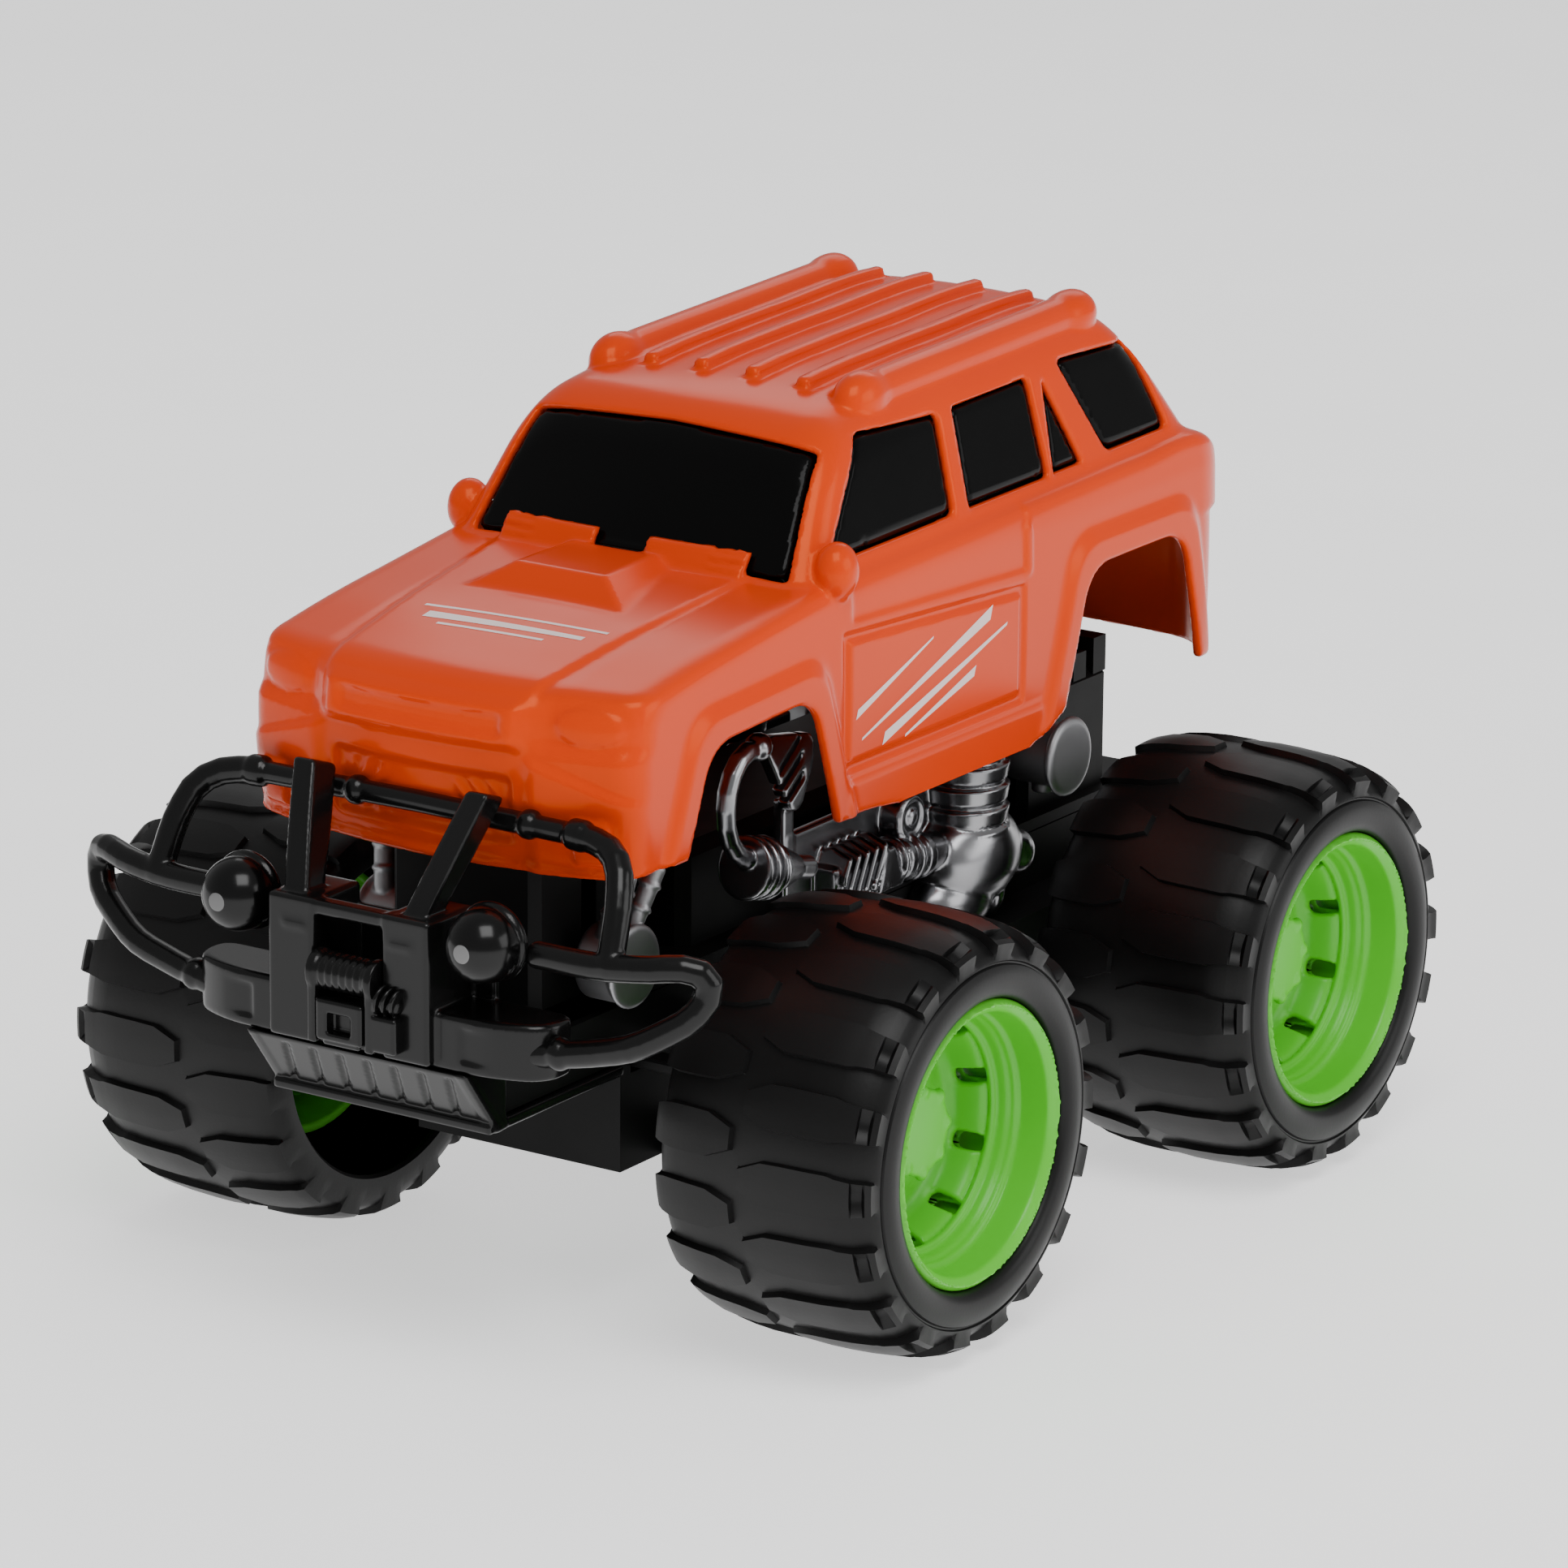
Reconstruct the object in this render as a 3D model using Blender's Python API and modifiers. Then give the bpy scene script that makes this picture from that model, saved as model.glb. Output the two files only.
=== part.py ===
"""Radio controlled monster truck toy: SUV body, chassis, steering, drive train and four big wheels.

Lengths are in millimetres inside the functions and become metres when a mesh is made.
+Z is up, -Y is the front and +X is the truck's left side. Heights start at the ground.
Y = 0 of the construction frame is midway between the axles; the empty "truck_frame" moves
everything so that the world origin is at the middle of the bounding box's bottom face.
"""
import math

import bmesh
import bpy
from mathutils import Matrix, Vector

MM = 0.001
GAP = 0.3                    # between pieces that touch
RUNNING = 0.1                # radial clearance of a turning fit

# Driving dimensions
MIDDLE_SHIFT = 19.05         # from the middle of the bounding box to midway between the axles
HALF_WHEELBASE = 70.0
TYRE_RADIUS = 45.0
AXLE_HEIGHT = TYRE_RADIUS
TYRE_INNER_X = 47.4
TYRE_OUTER_X = 98.5
KINGPIN_X = 44.0
STEERING_ARM = 14.0
FLOOR_BOTTOM = 31.0
FLOOR_TOP = 33.5
TUB_TOP = 66.0
FRONT_TUB_HALF = 25.0
REAR_TUB_HALF = 38.0
WALL = 2.0
SKIN = 2.0                   # body shell thickness
MODULE = 1.0                 # gear module

FRONT_Y = -HALF_WHEELBASE
REAR_Y = HALF_WHEELBASE

# name: colour, roughness, metallic
FINISHES = {
    "body_orange": ((1.0, 0.12, 0.02), 0.25, 0.0),
    "dark_glass": ((0.01, 0.01, 0.01), 0.15, 0.0),
    "black_plastic": ((0.02, 0.02, 0.02), 0.35, 0.0),
    "lamp_black": ((0.02, 0.02, 0.02), 0.12, 0.0),
    "plated_plastic": ((0.5, 0.5, 0.52), 0.2, 1.0),
    "tyre_rubber": ((0.015, 0.015, 0.015), 0.55, 0.0),
    "rim_green": ((0.14, 0.55, 0.07), 0.3, 0.0),
    "steel": ((0.6, 0.6, 0.62), 0.3, 1.0),
    "white_plastic": ((0.8, 0.8, 0.78), 0.4, 0.0),
    "battery_skin": ((0.1, 0.12, 0.2), 0.35, 0.0),
    "board_green": ((0.03, 0.2, 0.07), 0.5, 0.0),
    "wire_red": ((0.6, 0.03, 0.03), 0.45, 0.0),
}


# ---------------------------------------------------------------- scene helpers
def clear_scene():
    for obj in list(bpy.data.objects):
        bpy.data.objects.remove(obj, do_unlink=True)


def new_collection(name):
    collection = bpy.data.collections.new(name)
    bpy.context.scene.collection.children.link(collection)
    return collection


def new_empty(name, at, parent=None):
    empty = bpy.data.objects.new(name, None)
    empty.empty_display_size = 0.01
    empty.location = Vector(at) * MM
    empty.parent = parent
    PARTS.objects.link(empty)
    return empty


def finish_material(name):
    material = bpy.data.materials.get(name)
    if material:
        return material
    colour, roughness, metallic = FINISHES[name]
    material = bpy.data.materials.new(name)
    material.use_nodes = True
    shader = material.node_tree.nodes["Principled BSDF"]
    shader.inputs["Base Color"].default_value = (*colour, 1.0)
    shader.inputs["Roughness"].default_value = roughness
    shader.inputs["Metallic"].default_value = metallic
    material.diffuse_color = (*colour, 1.0)
    return material


def place(name, mesh, finish, parent, at=(0, 0, 0), smooth_angle=40):
    """Makes a sub-part from a mesh that is already in metres."""
    obj = bpy.data.objects.new(name, mesh)
    obj.location = Vector(at) * MM
    obj.parent = parent
    mesh.materials.append(finish_material(finish))
    if smooth_angle:
        mesh.shade_smooth()
        mesh.set_sharp_from_angle(angle=math.radians(smooth_angle))
    PARTS.objects.link(obj)
    return obj


def tool(mesh, parent, at=(0, 0, 0), name="tool"):
    """Makes a hidden Boolean operand."""
    obj = bpy.data.objects.new(name, mesh)
    obj.location = Vector(at) * MM
    obj.parent = parent
    obj.hide_render = True
    obj.display_type = "WIRE"
    CUTTERS.objects.link(obj)
    return obj


def boolean(target, operand, operation, use_self=False):
    modifier = target.modifiers.new(operation.lower(), "BOOLEAN")
    modifier.operation = operation
    modifier.solver = "EXACT"
    modifier.use_self = use_self
    modifier.object = operand


def cut(target, *meshes, at=(0, 0, 0)):
    for mesh in meshes:
        boolean(target, tool(mesh, target.parent, at, target.name + "_cut"), "DIFFERENCE")


def join(target, *meshes, at=(0, 0, 0), use_self=False):
    for mesh in meshes:
        boolean(target, tool(mesh, target.parent, at, target.name + "_add"), "UNION", use_self)


# ---------------------------------------------------------------- shape helpers
def to_mesh(bm, name="shape"):
    bmesh.ops.scale(bm, vec=(MM, MM, MM), verts=bm.verts)
    bmesh.ops.recalc_face_normals(bm, faces=bm.faces)
    mesh = bpy.data.meshes.new(name)
    bm.to_mesh(mesh)
    bm.free()
    return mesh


def add_block(bm, low, high, bevel=0.0):
    low, high = Vector(low), Vector(high)
    matrix = Matrix.Translation((low + high) / 2) @ Matrix.Diagonal((*(high - low), 1.0))
    made = bmesh.ops.create_cube(bm, size=1.0, matrix=matrix)
    if bevel:
        edges = list({edge for vert in made["verts"] for edge in vert.link_edges})
        bmesh.ops.bevel(bm, geom=edges, offset=bevel, segments=1, affect="EDGES", profile=0.5)


def block(low, high, bevel=0.0):
    bm = bmesh.new()
    add_block(bm, low, high, bevel)
    return to_mesh(bm, "block")


def blocks(*corner_pairs):
    """Several separate boxes in one mesh."""
    bm = bmesh.new()
    for low, high in corner_pairs:
        add_block(bm, low, high)
    return to_mesh(bm, "blocks")


def add_rod(bm, start, end, radius, end_radius=None, sides=16):
    start, end = Vector(start), Vector(end)
    along = end - start
    turn = along.to_track_quat("Z", "Y").to_matrix().to_4x4()
    matrix = Matrix.Translation((start + end) / 2) @ turn
    bmesh.ops.create_cone(bm, cap_ends=True, segments=sides, radius1=radius,
                          radius2=radius if end_radius is None else end_radius,
                          depth=along.length, matrix=matrix)


def rod(start, end, radius, end_radius=None, sides=16):
    bm = bmesh.new()
    add_rod(bm, start, end, radius, end_radius, sides)
    return to_mesh(bm, "rod")


def add_ball(bm, centre, radii, around=12, down=8):
    matrix = Matrix.Translation(centre) @ Matrix.Diagonal((*radii, 1.0))
    bmesh.ops.create_uvsphere(bm, u_segments=around, v_segments=down, radius=1.0, matrix=matrix)


def ball(centre, radii, around=12, down=8):
    bm = bmesh.new()
    add_ball(bm, centre, radii, around, down)
    return to_mesh(bm, "ball")


def prism(outline, low, high, axis):
    """Extrudes a flat outline: axis X takes (y, z) points, Y takes (x, z) and Z takes (x, y)."""
    bm = bmesh.new()
    spots = {"X": lambda a, b: (low, a, b), "Y": lambda a, b: (a, low, b), "Z": lambda a, b: (a, b, low)}
    step = {"X": (high - low, 0, 0), "Y": (0, high - low, 0), "Z": (0, 0, high - low)}
    face = bm.faces.new([bm.verts.new(spots[axis](*point)) for point in outline])
    moved = bmesh.ops.extrude_face_region(bm, geom=[face])["geom"]
    bmesh.ops.translate(bm, vec=step[axis], verts=[v for v in moved if isinstance(v, bmesh.types.BMVert)])
    return to_mesh(bm, "prism")


def rounded(corners, steps=4):
    """Outline from corners (a, b, radius), each corner turned into an arc."""
    points = []
    count = len(corners)
    for index, (a, b, radius) in enumerate(corners):
        corner = Vector((a, b))
        before = (Vector(corners[index - 1][:2]) - corner).normalized()
        after = (Vector(corners[(index + 1) % count][:2]) - corner).normalized()
        if radius <= 0:
            points.append(tuple(corner))
            continue
        half = before.angle(after) / 2
        reach = radius / math.tan(half)
        centre = corner + (before + after).normalized() * (radius / math.sin(half))
        first = corner + before * reach - centre
        last = corner + after * reach - centre
        sweep = first.angle_signed(last)
        for step in range(steps + 1):
            points.append(tuple(centre + Matrix.Rotation(-sweep * step / steps, 2) @ first))
    return points


def loft(rings):
    """Closed body through rings that all have the same number of points."""
    bm = bmesh.new()
    loops = [[bm.verts.new(point) for point in ring] for ring in rings]
    for near, far in zip(loops, loops[1:]):
        for index in range(len(near)):
            after = (index + 1) % len(near)
            bm.faces.new((near[index], near[after], far[after], far[index]))
    bm.faces.new(list(reversed(loops[0])))
    bm.faces.new(loops[-1])
    return to_mesh(bm, "loft")


def tube_mesh(points, radius, sides_level=2):
    """Tube through the points as a closed mesh."""
    curve = bpy.data.curves.new("tube", "CURVE")
    curve.dimensions = "3D"
    curve.bevel_depth = radius * MM
    curve.bevel_resolution = sides_level
    curve.use_fill_caps = True
    spline = curve.splines.new("POLY")
    spline.points.add(len(points) - 1)
    for spot, point in zip(spline.points, points):
        spot.co = (*(Vector(point) * MM), 1.0)
    holder = bpy.data.objects.new("tube", curve)
    bpy.context.scene.collection.objects.link(holder)
    evaluated = holder.evaluated_get(bpy.context.evaluated_depsgraph_get())
    mesh = bpy.data.meshes.new_from_object(evaluated)
    bpy.data.objects.remove(holder, do_unlink=True)
    bm = bmesh.new()
    bm.from_mesh(mesh)
    bmesh.ops.remove_doubles(bm, verts=bm.verts, dist=1e-6)
    bmesh.ops.recalc_face_normals(bm, faces=bm.faces)
    bm.to_mesh(mesh)
    bm.free()
    return mesh


def smooth_route(points, per_span=4):
    """Points of a Catmull-Rom curve through the given ones."""
    spots = [Vector(point) for point in points]
    spots = [2 * spots[0] - spots[1]] + spots + [2 * spots[-1] - spots[-2]]
    route = []
    for a, b, c, d in zip(spots, spots[1:], spots[2:], spots[3:]):
        for step in range(per_span):
            t = step / per_span
            route.append(0.5 * (2 * b + (c - a) * t + (2 * a - 5 * b + 4 * c - d) * t * t
                                + (3 * b - a - 3 * c + d) * t ** 3))
    return route + [spots[-2]]


def mirrored(mesh, side):
    """The mesh itself on the left, its mirror image in X on the right."""
    if side > 0:
        return mesh
    mesh.transform(Matrix.Scale(-1, 4, (1, 0, 0)))
    mesh.flip_normals()
    return mesh


def turned(name, profile, finish, parent, axis_turn, steps, ring):
    """Body of revolution: the (radius, height) profile runs down its outer side.

    A ring's profile closes on itself; any other starts and ends on the axis.
    """
    mesh = bpy.data.meshes.new(name)
    points = [(radius * MM, 0.0, height * MM) for radius, height in profile]
    edges = [(index, index + 1) for index in range(len(points) - 1)]
    mesh.from_pydata(points, edges + [(len(points) - 1, 0)] * ring, [])
    obj = place(name, mesh, finish, parent, smooth_angle=0)
    obj.rotation_euler = axis_turn
    screw = obj.modifiers.new("turn", "SCREW")
    screw.angle = math.tau
    screw.steps = screw.render_steps = steps
    screw.use_merge_vertices = True
    screw.merge_threshold = 0.00001
    screw.use_smooth_shade = True
    return obj


def turned_rings(profile, sides=20):
    """Rings of a (radius, height) profile turned about Z."""
    rings = []
    for radius, height in profile:
        rings.append([(radius * math.cos(math.tau * k / sides), radius * math.sin(math.tau * k / sides),
                       height) for k in range(sides)])
    return rings


def stacked(profile, centre, sides=20, axis="Z"):
    """Capped body of revolution as a mesh, along Z, Y or X through the centre."""
    def turn(point):
        x, y, z = point
        local = {"Z": (x, y, z), "Y": (x, z, -y), "X": (z, y, -x)}[axis]
        return Vector(local) + Vector(centre)
    return loft([[turn(point) for point in ring] for ring in turned_rings(profile, sides)])


# ---------------------------------------------------------------- body shell
# y, half width, bottom, shoulder height, middle height, greenhouse base and roof half widths
BODY_STATIONS = (
    (-121.0, 42.5, 100.5, 129.0, 131.5, 34.0, 20.0),
    (-117.5, 45.3, 100.5, 136.0, 139.5, 37.0, 23.0),
    (-109.0, 46.8, 100.5, 139.0, 143.0, 38.0, 25.0),
    (-90.0, 47.4, 100.0, 141.8, 147.0, 39.0, 26.0),
    (-70.0, 47.6, 98.5, 144.6, 150.0, 40.0, 27.0),
    (-55.0, 47.6, 97.0, 146.6, 152.0, 41.0, 28.0),
    (-38.0, 47.4, 97.0, 148.6, 173.6, 42.2, 31.0),
    (-28.0, 47.3, 97.0, 148.8, 176.5, 42.6, 32.0),
    (-12.0, 47.2, 97.0, 149.2, 178.3, 42.8, 33.0),
    (30.0, 47.2, 97.0, 150.0, 180.0, 43.0, 33.5),
    (64.0, 47.2, 99.0, 150.8, 181.0, 43.0, 33.5),
    (73.0, 47.2, 100.0, 151.0, 179.8, 43.0, 33.0),
    (81.0, 47.2, 100.0, 151.2, 175.0, 43.0, 32.0),
    (88.0, 47.2, 100.0, 151.2, 167.0, 42.8, 31.5),
    (97.0, 47.0, 100.0, 150.8, 154.0, 42.4, 31.0),
    (104.0, 46.6, 100.0, 147.5, 149.8, 41.0, 30.0),
    (109.5, 45.4, 100.0, 142.0, 143.8, 39.0, 28.0),
    (112.0, 43.5, 101.0, 133.0, 134.5, 36.0, 25.0),
)


def body_ring(station, inset=0.0, bottom=None):
    """Closed outline of the body across the truck at one station."""
    y, width, low, shoulder, top, glass, roof = station
    width, shoulder, top = width - inset, shoulder - inset * 0.8, top - inset
    glass, roof = glass - inset, roof - inset * 0.6
    low = low if bottom is None else bottom
    rise = top - shoulder
    half = [(width - 1.2, low), (width, low + 8), (width, low + 26), (width - 0.4, shoulder - 6),
            (width - 2.4, shoulder - 0.8), (glass, shoulder + min(0.8, rise * 0.15)),
            (glass + (roof + 3 - glass) * 0.5, shoulder + rise * 0.42),
            (roof + 3.0, shoulder + rise * 0.80), (roof, shoulder + rise * 0.93),
            (roof * 0.5, shoulder + rise * 0.99)]
    left = [(x, y, z) for x, z in half]
    right = [(-x, y, z) for x, z in reversed(half)]
    return left + [(0.0, y, top)] + right


FRONT_ARCH = ((-105.0, 90, 0), (-92.5, 123.6, 8), (-57.5, 125.6, 6), (-44.0, 90, 0))
REAR_ARCH = ((35.5, 90, 0), (47.5, 130.2, 9), (84.5, 130.2, 9), (95.5, 90, 0))
FRONT_WINDOW = ((-43.0, 150.6, 2), (2.0, 150.8, 2), (2.4, 168.5, 2), (-25.0, 170.0, 3))
MIDDLE_WINDOW = ((8.7, 150.9, 2), (38.5, 151.2, 2), (37.5, 169.5, 2), (9.2, 169.0, 2))
CORNER_WINDOW = ((41.6, 151.2, 0.8), (51.4, 151.3, 0.8), (43.5, 168.3, 0.8))
QUARTER_WINDOW = ((61.5, 152.5, 2), (86.2, 152.6, 2), (79.5, 170.3, 3), (50.6, 170.6, 2))
WINDSCREEN = ((-37.5, -13.0, 1.5), (37.5, -13.0, 1.5), (32.5, 12.6, 2), (-32.5, 12.6, 2))
REAR_SCREEN = ((-33.0, -10.0, 2), (33.0, -10.0, 2), (29.0, 9.0, 2), (-29.0, 9.0, 2))
BOSSES = ((16.0, -92.0, 145.6), (16.0, 70.0, 179.4))   # x, y, top
BOSS_BOTTOM = 106.0
ROOF_RAIL_X = 30.0
ROOF_RIB_X = (6.3, 18.8)


def roof_fittings():
    """Rails with bulb ends, ribs and door mirrors, as overlapping solids."""
    bm = bmesh.new()
    for side in (-1, 1):
        x = side * ROOF_RAIL_X
        add_rod(bm, (x, -14.0, 176.2), (x, 66.0, 179.6), 2.9, sides=8)
        add_ball(bm, (x, -15.0, 175.0), (4.0, 5.4, 4.6), 8, 5)
        add_ball(bm, (x, 67.0, 178.8), (4.4, 6.0, 4.8), 8, 5)
        for rib in ROOF_RIB_X:
            add_rod(bm, (side * rib, -16.0, 177.6), (side * rib, 67.0, 180.4), 1.7, sides=4)
        add_ball(bm, (side * 45.6, -46.0, 149.6), (3.9, 4.0, 4.8), 8, 5)
    return to_mesh(bm, "fittings")


def station_at(y):
    """The body's station at any place between the given ones."""
    for near, far in zip(BODY_STATIONS, BODY_STATIONS[1:]):
        if near[0] <= y <= far[0]:
            part = (y - near[0]) / (far[0] - near[0])
            return tuple(a + (b - a) * part for a, b in zip(near, far))
    raise ValueError("outside the body")


def boss_rods(low, high, radius):
    """The four upright rods of the body posts; height 0 means up into the skin."""
    bm = bmesh.new()
    for x, y, top in BOSSES:
        for side in (-1, 1):
            add_rod(bm, (side * x, y, low), (side * x, y, high or top), radius, sides=8)
    return to_mesh(bm, "bosses")


def side_prisms(outline):
    """One outline through both sides of the shell, clear of its middle."""
    bm = bmesh.new()
    for side in (-1, 1):
        bm.from_mesh(mirrored(prism(outline, 26.0, 60.0, "X"), side))
    mesh = bpy.data.meshes.new("sides")
    bm.to_mesh(mesh)
    bm.free()
    return mesh


def tilted_opening(outline, centre, slope_deg, parent, name):
    """Cutter for a raked screen: its outline lies in the screen's own plane."""
    mesh = prism(rounded(outline, 2), -7.0, 7.0, "Z")
    obj = tool(mesh, parent, centre, name)
    obj.rotation_euler = (math.radians(slope_deg), 0, 0)
    return obj


def make_body_shell(frame):
    outer = loft([body_ring(station) for station in BODY_STATIONS])
    body = place("body_shell", outer, "body_orange", frame)
    inner_stations = [(-117.5, *BODY_STATIONS[1][1:])]
    inner_stations += list(BODY_STATIONS[2:-2])
    inner_stations += [(108.8, 45.4, 100.0, 139.5, 141.0, 38.0, 28.0)]
    inner = loft([body_ring(station, SKIN, bottom=80.0) for station in inner_stations])
    join(body, roof_fittings(), use_self=True)
    cut(body, inner)
    join(body, boss_rods(BOSS_BOTTOM, 0.0, 4.0))
    cut(body, boss_rods(BOSS_BOTTOM - 1, BOSS_BOTTOM + 12, 1.5))
    for outline in (FRONT_ARCH, REAR_ARCH, FRONT_WINDOW, MIDDLE_WINDOW, CORNER_WINDOW, QUARTER_WINDOW):
        cut(body, side_prisms(rounded(outline, 1)))
    screens = ((WINDSCREEN, (0, -46.3, 160.2), 53.0, "windscreen_cut"),
               (REAR_SCREEN, (0, 87.6, 166.0), -54.0, "rear_screen_cut"))
    for outline, centre, slope, name in screens:
        boolean(body, tilted_opening(outline, centre, slope, frame, name), "DIFFERENCE")


def make_window_insert(frame):
    """One dark ring behind every window of the cabin."""
    front, back = -51.0, 92.0
    between = [station for station in BODY_STATIONS if front < station[0] < back]
    clear = SKIN + 1.5
    stations = [station_at(front)] + between + [station_at(back)]
    outer = loft([body_ring(station, clear, bottom=120.0) for station in stations])
    insert = place("window_insert", outer, "dark_glass", frame)
    stations = [station_at(front + 3)] + between + [station_at(back - 3)]
    cut(insert, loft([body_ring(station, clear + 1.2, bottom=110.0) for station in stations]))
    cut(insert, block((-60, -70, 100), (60, 120, 146.0)))
    x, y, _ = BOSSES[1]
    for side in (-1, 1):
        cut(insert, rod((side * x, y, 140), (side * x, y, 190), 4.0 + GAP, sides=8))


# ---------------------------------------------------------------- chassis
TUB_FRONT = -91.0
TUB_REAR = 110.0
SHELF_TOP = 54.0             # the wide lower half of the tub ends in a shelf on each side
UPPER_HALF = 27.0            # half width of the narrow upper half
DECK_THICKNESS = 2.5
TUNNEL_HALF = 19.0           # half width of the deck's raised middle


def tub_plan(inset):
    """Half widths along the wide lower half of the tub."""
    front, rear = FRONT_TUB_HALF - inset, REAR_TUB_HALF - inset
    side = ((front, TUB_FRONT + inset), (front, -23.5 + inset * 0.4), (rear, -15.5 + inset * 0.4),
            (rear, TUB_REAR - 6.0 - inset * 0.4), (30.0 - inset * 0.4, TUB_REAR - inset))
    return [(-x, y) for x, y in side] + [(x, y) for x, y in reversed(side)]


def upper_plan(inset):
    """The narrow upper half of the tub, which the deck covers."""
    front, rear = FRONT_TUB_HALF - inset, UPPER_HALF - inset
    side = ((front, TUB_FRONT + inset), (front, -23.5), (rear, -20.0), (rear, TUB_REAR - inset))
    return [(-x, y) for x, y in side] + [(x, y) for x, y in reversed(side)]


NOSE_FRONT = -133.0
NOSE_BOTTOM = 54.4
DOOR_HALF = 27.0
DOOR_BACK = 28.5
DOOR_FRONT = -15.0
BATTERY_RADIUS = 7.2
BATTERY_HALF = 25.2
BATTERY_Y = (-7.9, 6.9, 21.7)
BATTERY_Z = 41.5
DRIVE_X = 5.0                # the gear train sits left of the middle
GEARBOX_X = (-1.6, 14.0)
GEARBOX_Y = (35.5, 84.0)
GEARBOX_Z = (31.6, 65.6)
TIE_ROD_Y = FRONT_Y - STEERING_ARM
TIE_ROD_Z = (52.0, 54.5)
BRIDGE_Z = (55.2, 58.7)
LOWER_ARM_Z = (31.0, 35.4)
HUB_PIN_RADIUS = 2.1         # rear axle and stub axles
PIN_RADIUS = 1.5             # kingpins, idler shaft, servo output and steering pins


def make_chassis_lower(frame):
    tub = place("chassis_lower", prism(tub_plan(0), FLOOR_BOTTOM, SHELF_TOP, "Z"), "black_plastic", frame)
    join(tub, prism(upper_plan(0), FLOOR_BOTTOM + 1, TUB_TOP, "Z"))
    nose_end = TUB_FRONT + 3
    join(tub, block((-FRONT_TUB_HALF, NOSE_FRONT, NOSE_BOTTOM), (FRONT_TUB_HALF, nose_end, TUB_TOP)))
    arms = [((side * 20 if side > 0 else -49, FRONT_Y - 6, LOWER_ARM_Z[0]),
             (49 if side > 0 else -20, FRONT_Y + 6, LOWER_ARM_Z[1])) for side in (-1, 1)]
    join(tub, blocks(*arms))
    cut(tub, prism(tub_plan(WALL), FLOOR_TOP, SHELF_TOP - WALL, "Z"))
    cut(tub, prism(upper_plan(WALL), FLOOR_TOP, TUB_TOP + 5, "Z"))
    cut(tub, block((-23, NOSE_FRONT + 2, NOSE_BOTTOM + 2), (23, TUB_FRONT - 1.5, TUB_TOP + 5)))
    # rear axle holes, battery opening, gearbox opening, switch slot
    cut(tub, rod((-60, REAR_Y, AXLE_HEIGHT), (60, REAR_Y, AXLE_HEIGHT), 4.5, sides=16))
    doorway = DOOR_HALF + 0.5
    cut(tub, block((-doorway, DOOR_FRONT - 0.5, 25), (doorway, DOOR_BACK + 0.5, FLOOR_TOP + 1)))
    cut(tub, block((GEARBOX_X[0] - 0.4, GEARBOX_Y[0] - 0.4, 25),
                   (GEARBOX_X[1] + 2.8, GEARBOX_Y[1] + 0.4, FLOOR_TOP + 1)))
    cut(tub, block((-5.0, -50.0, 25), (5.0, -45.0, FLOOR_TOP + 1)))
    # tie rod slots, bridge notches and kingpin holes
    cut(tub, block((-40, TIE_ROD_Y - 3.4, TIE_ROD_Z[0] - 1), (40, TIE_ROD_Y + 3.6, TIE_ROD_Z[1] + 1)))
    cut(tub, block((-40, FRONT_Y - 6.4, BRIDGE_Z[0] - 0.4), (40, FRONT_Y + 6.4, BRIDGE_Z[1] + 0.4)))
    for side in (-1, 1):
        x = side * KINGPIN_X
        cut(tub, rod((x, FRONT_Y, 25), (x, FRONT_Y, LOWER_ARM_Z[1] + 1), 1.6, sides=16))


def make_chassis_upper(frame):
    """Deck with a raised tunnel, a front and a rear tower and the body posts."""
    low = TUB_TOP + GAP
    plate = prism(upper_plan(0), low, low + DECK_THICKNESS, "Z")
    deck = place("chassis_upper", plate, "black_plastic", frame)
    join(deck, block((-18, -110, low), (18, -80, 100), 2.0))
    join(deck, block((-TUNNEL_HALF, -60, low), (TUNNEL_HALF, 62, 90), 2.5))
    join(deck, block((-24, 60, low), (24, 95, 96), 2.5))
    teeth = [((-24, 64 + 8 * k, 94), (24, 69 + 8 * k, 100 + 2.0 * (k % 2))) for k in range(4)]
    join(deck, blocks(*teeth))
    cut(deck, block((-16, -108, low - 5), (16, -82, 96)), block((-17, -58, low - 5), (17, 60, 88)),
        block((-22, 58, low - 5), (22, 93, 92)))
    for x, y, _ in BOSSES:
        for side in (-1, 1):
            spot = side * x
            shorten = 11.0 if y < 0 else 16.0
            join(deck, rod((spot, y, BOSS_BOTTOM - shorten), (spot, y, BOSS_BOTTOM - GAP), 4.6, sides=12))
            cut(deck, rod((spot, y, low - 5), (spot, y, BOSS_BOTTOM + 2), 1.7, sides=10))
            cut(deck, rod((spot, y, low - 5), (spot, y, BOSS_BOTTOM - 3.0), 3.3, sides=12))


def make_body_screws(frame):
    for label, (x, y, _) in zip(("front", "rear"), BOSSES):
        for side, end in ((1, "left"), (-1, "right")):
            spot = side * x
            head = BOSS_BOTTOM - 3.0 - GAP
            screw = rod((spot, y, head - 2.0), (spot, y, head), 2.8, sides=12)
            obj = place(f"body_screw_{label}_{end}", screw, "steel", frame)
            join(obj, rod((spot, y, head - 0.5), (spot, y, BOSS_BOTTOM + 9), 1.2, sides=8))


def make_front_bridge(frame):
    outline = rounded(((-49, FRONT_Y - 6, 4), (49, FRONT_Y - 6, 4), (49, FRONT_Y + 6, 4),
                       (-49, FRONT_Y + 6, 4)), 3)
    bridge = place("front_bridge", prism(outline, *BRIDGE_Z, "Z"), "black_plastic", frame)
    for side in (-1, 1):
        x = side * KINGPIN_X
        cut(bridge, rod((x, FRONT_Y, 50), (x, FRONT_Y, 65), 1.6, sides=16))
    cut(bridge, rod((0, FRONT_Y, 50), (0, FRONT_Y, 65), 3.0, sides=16))


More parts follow.
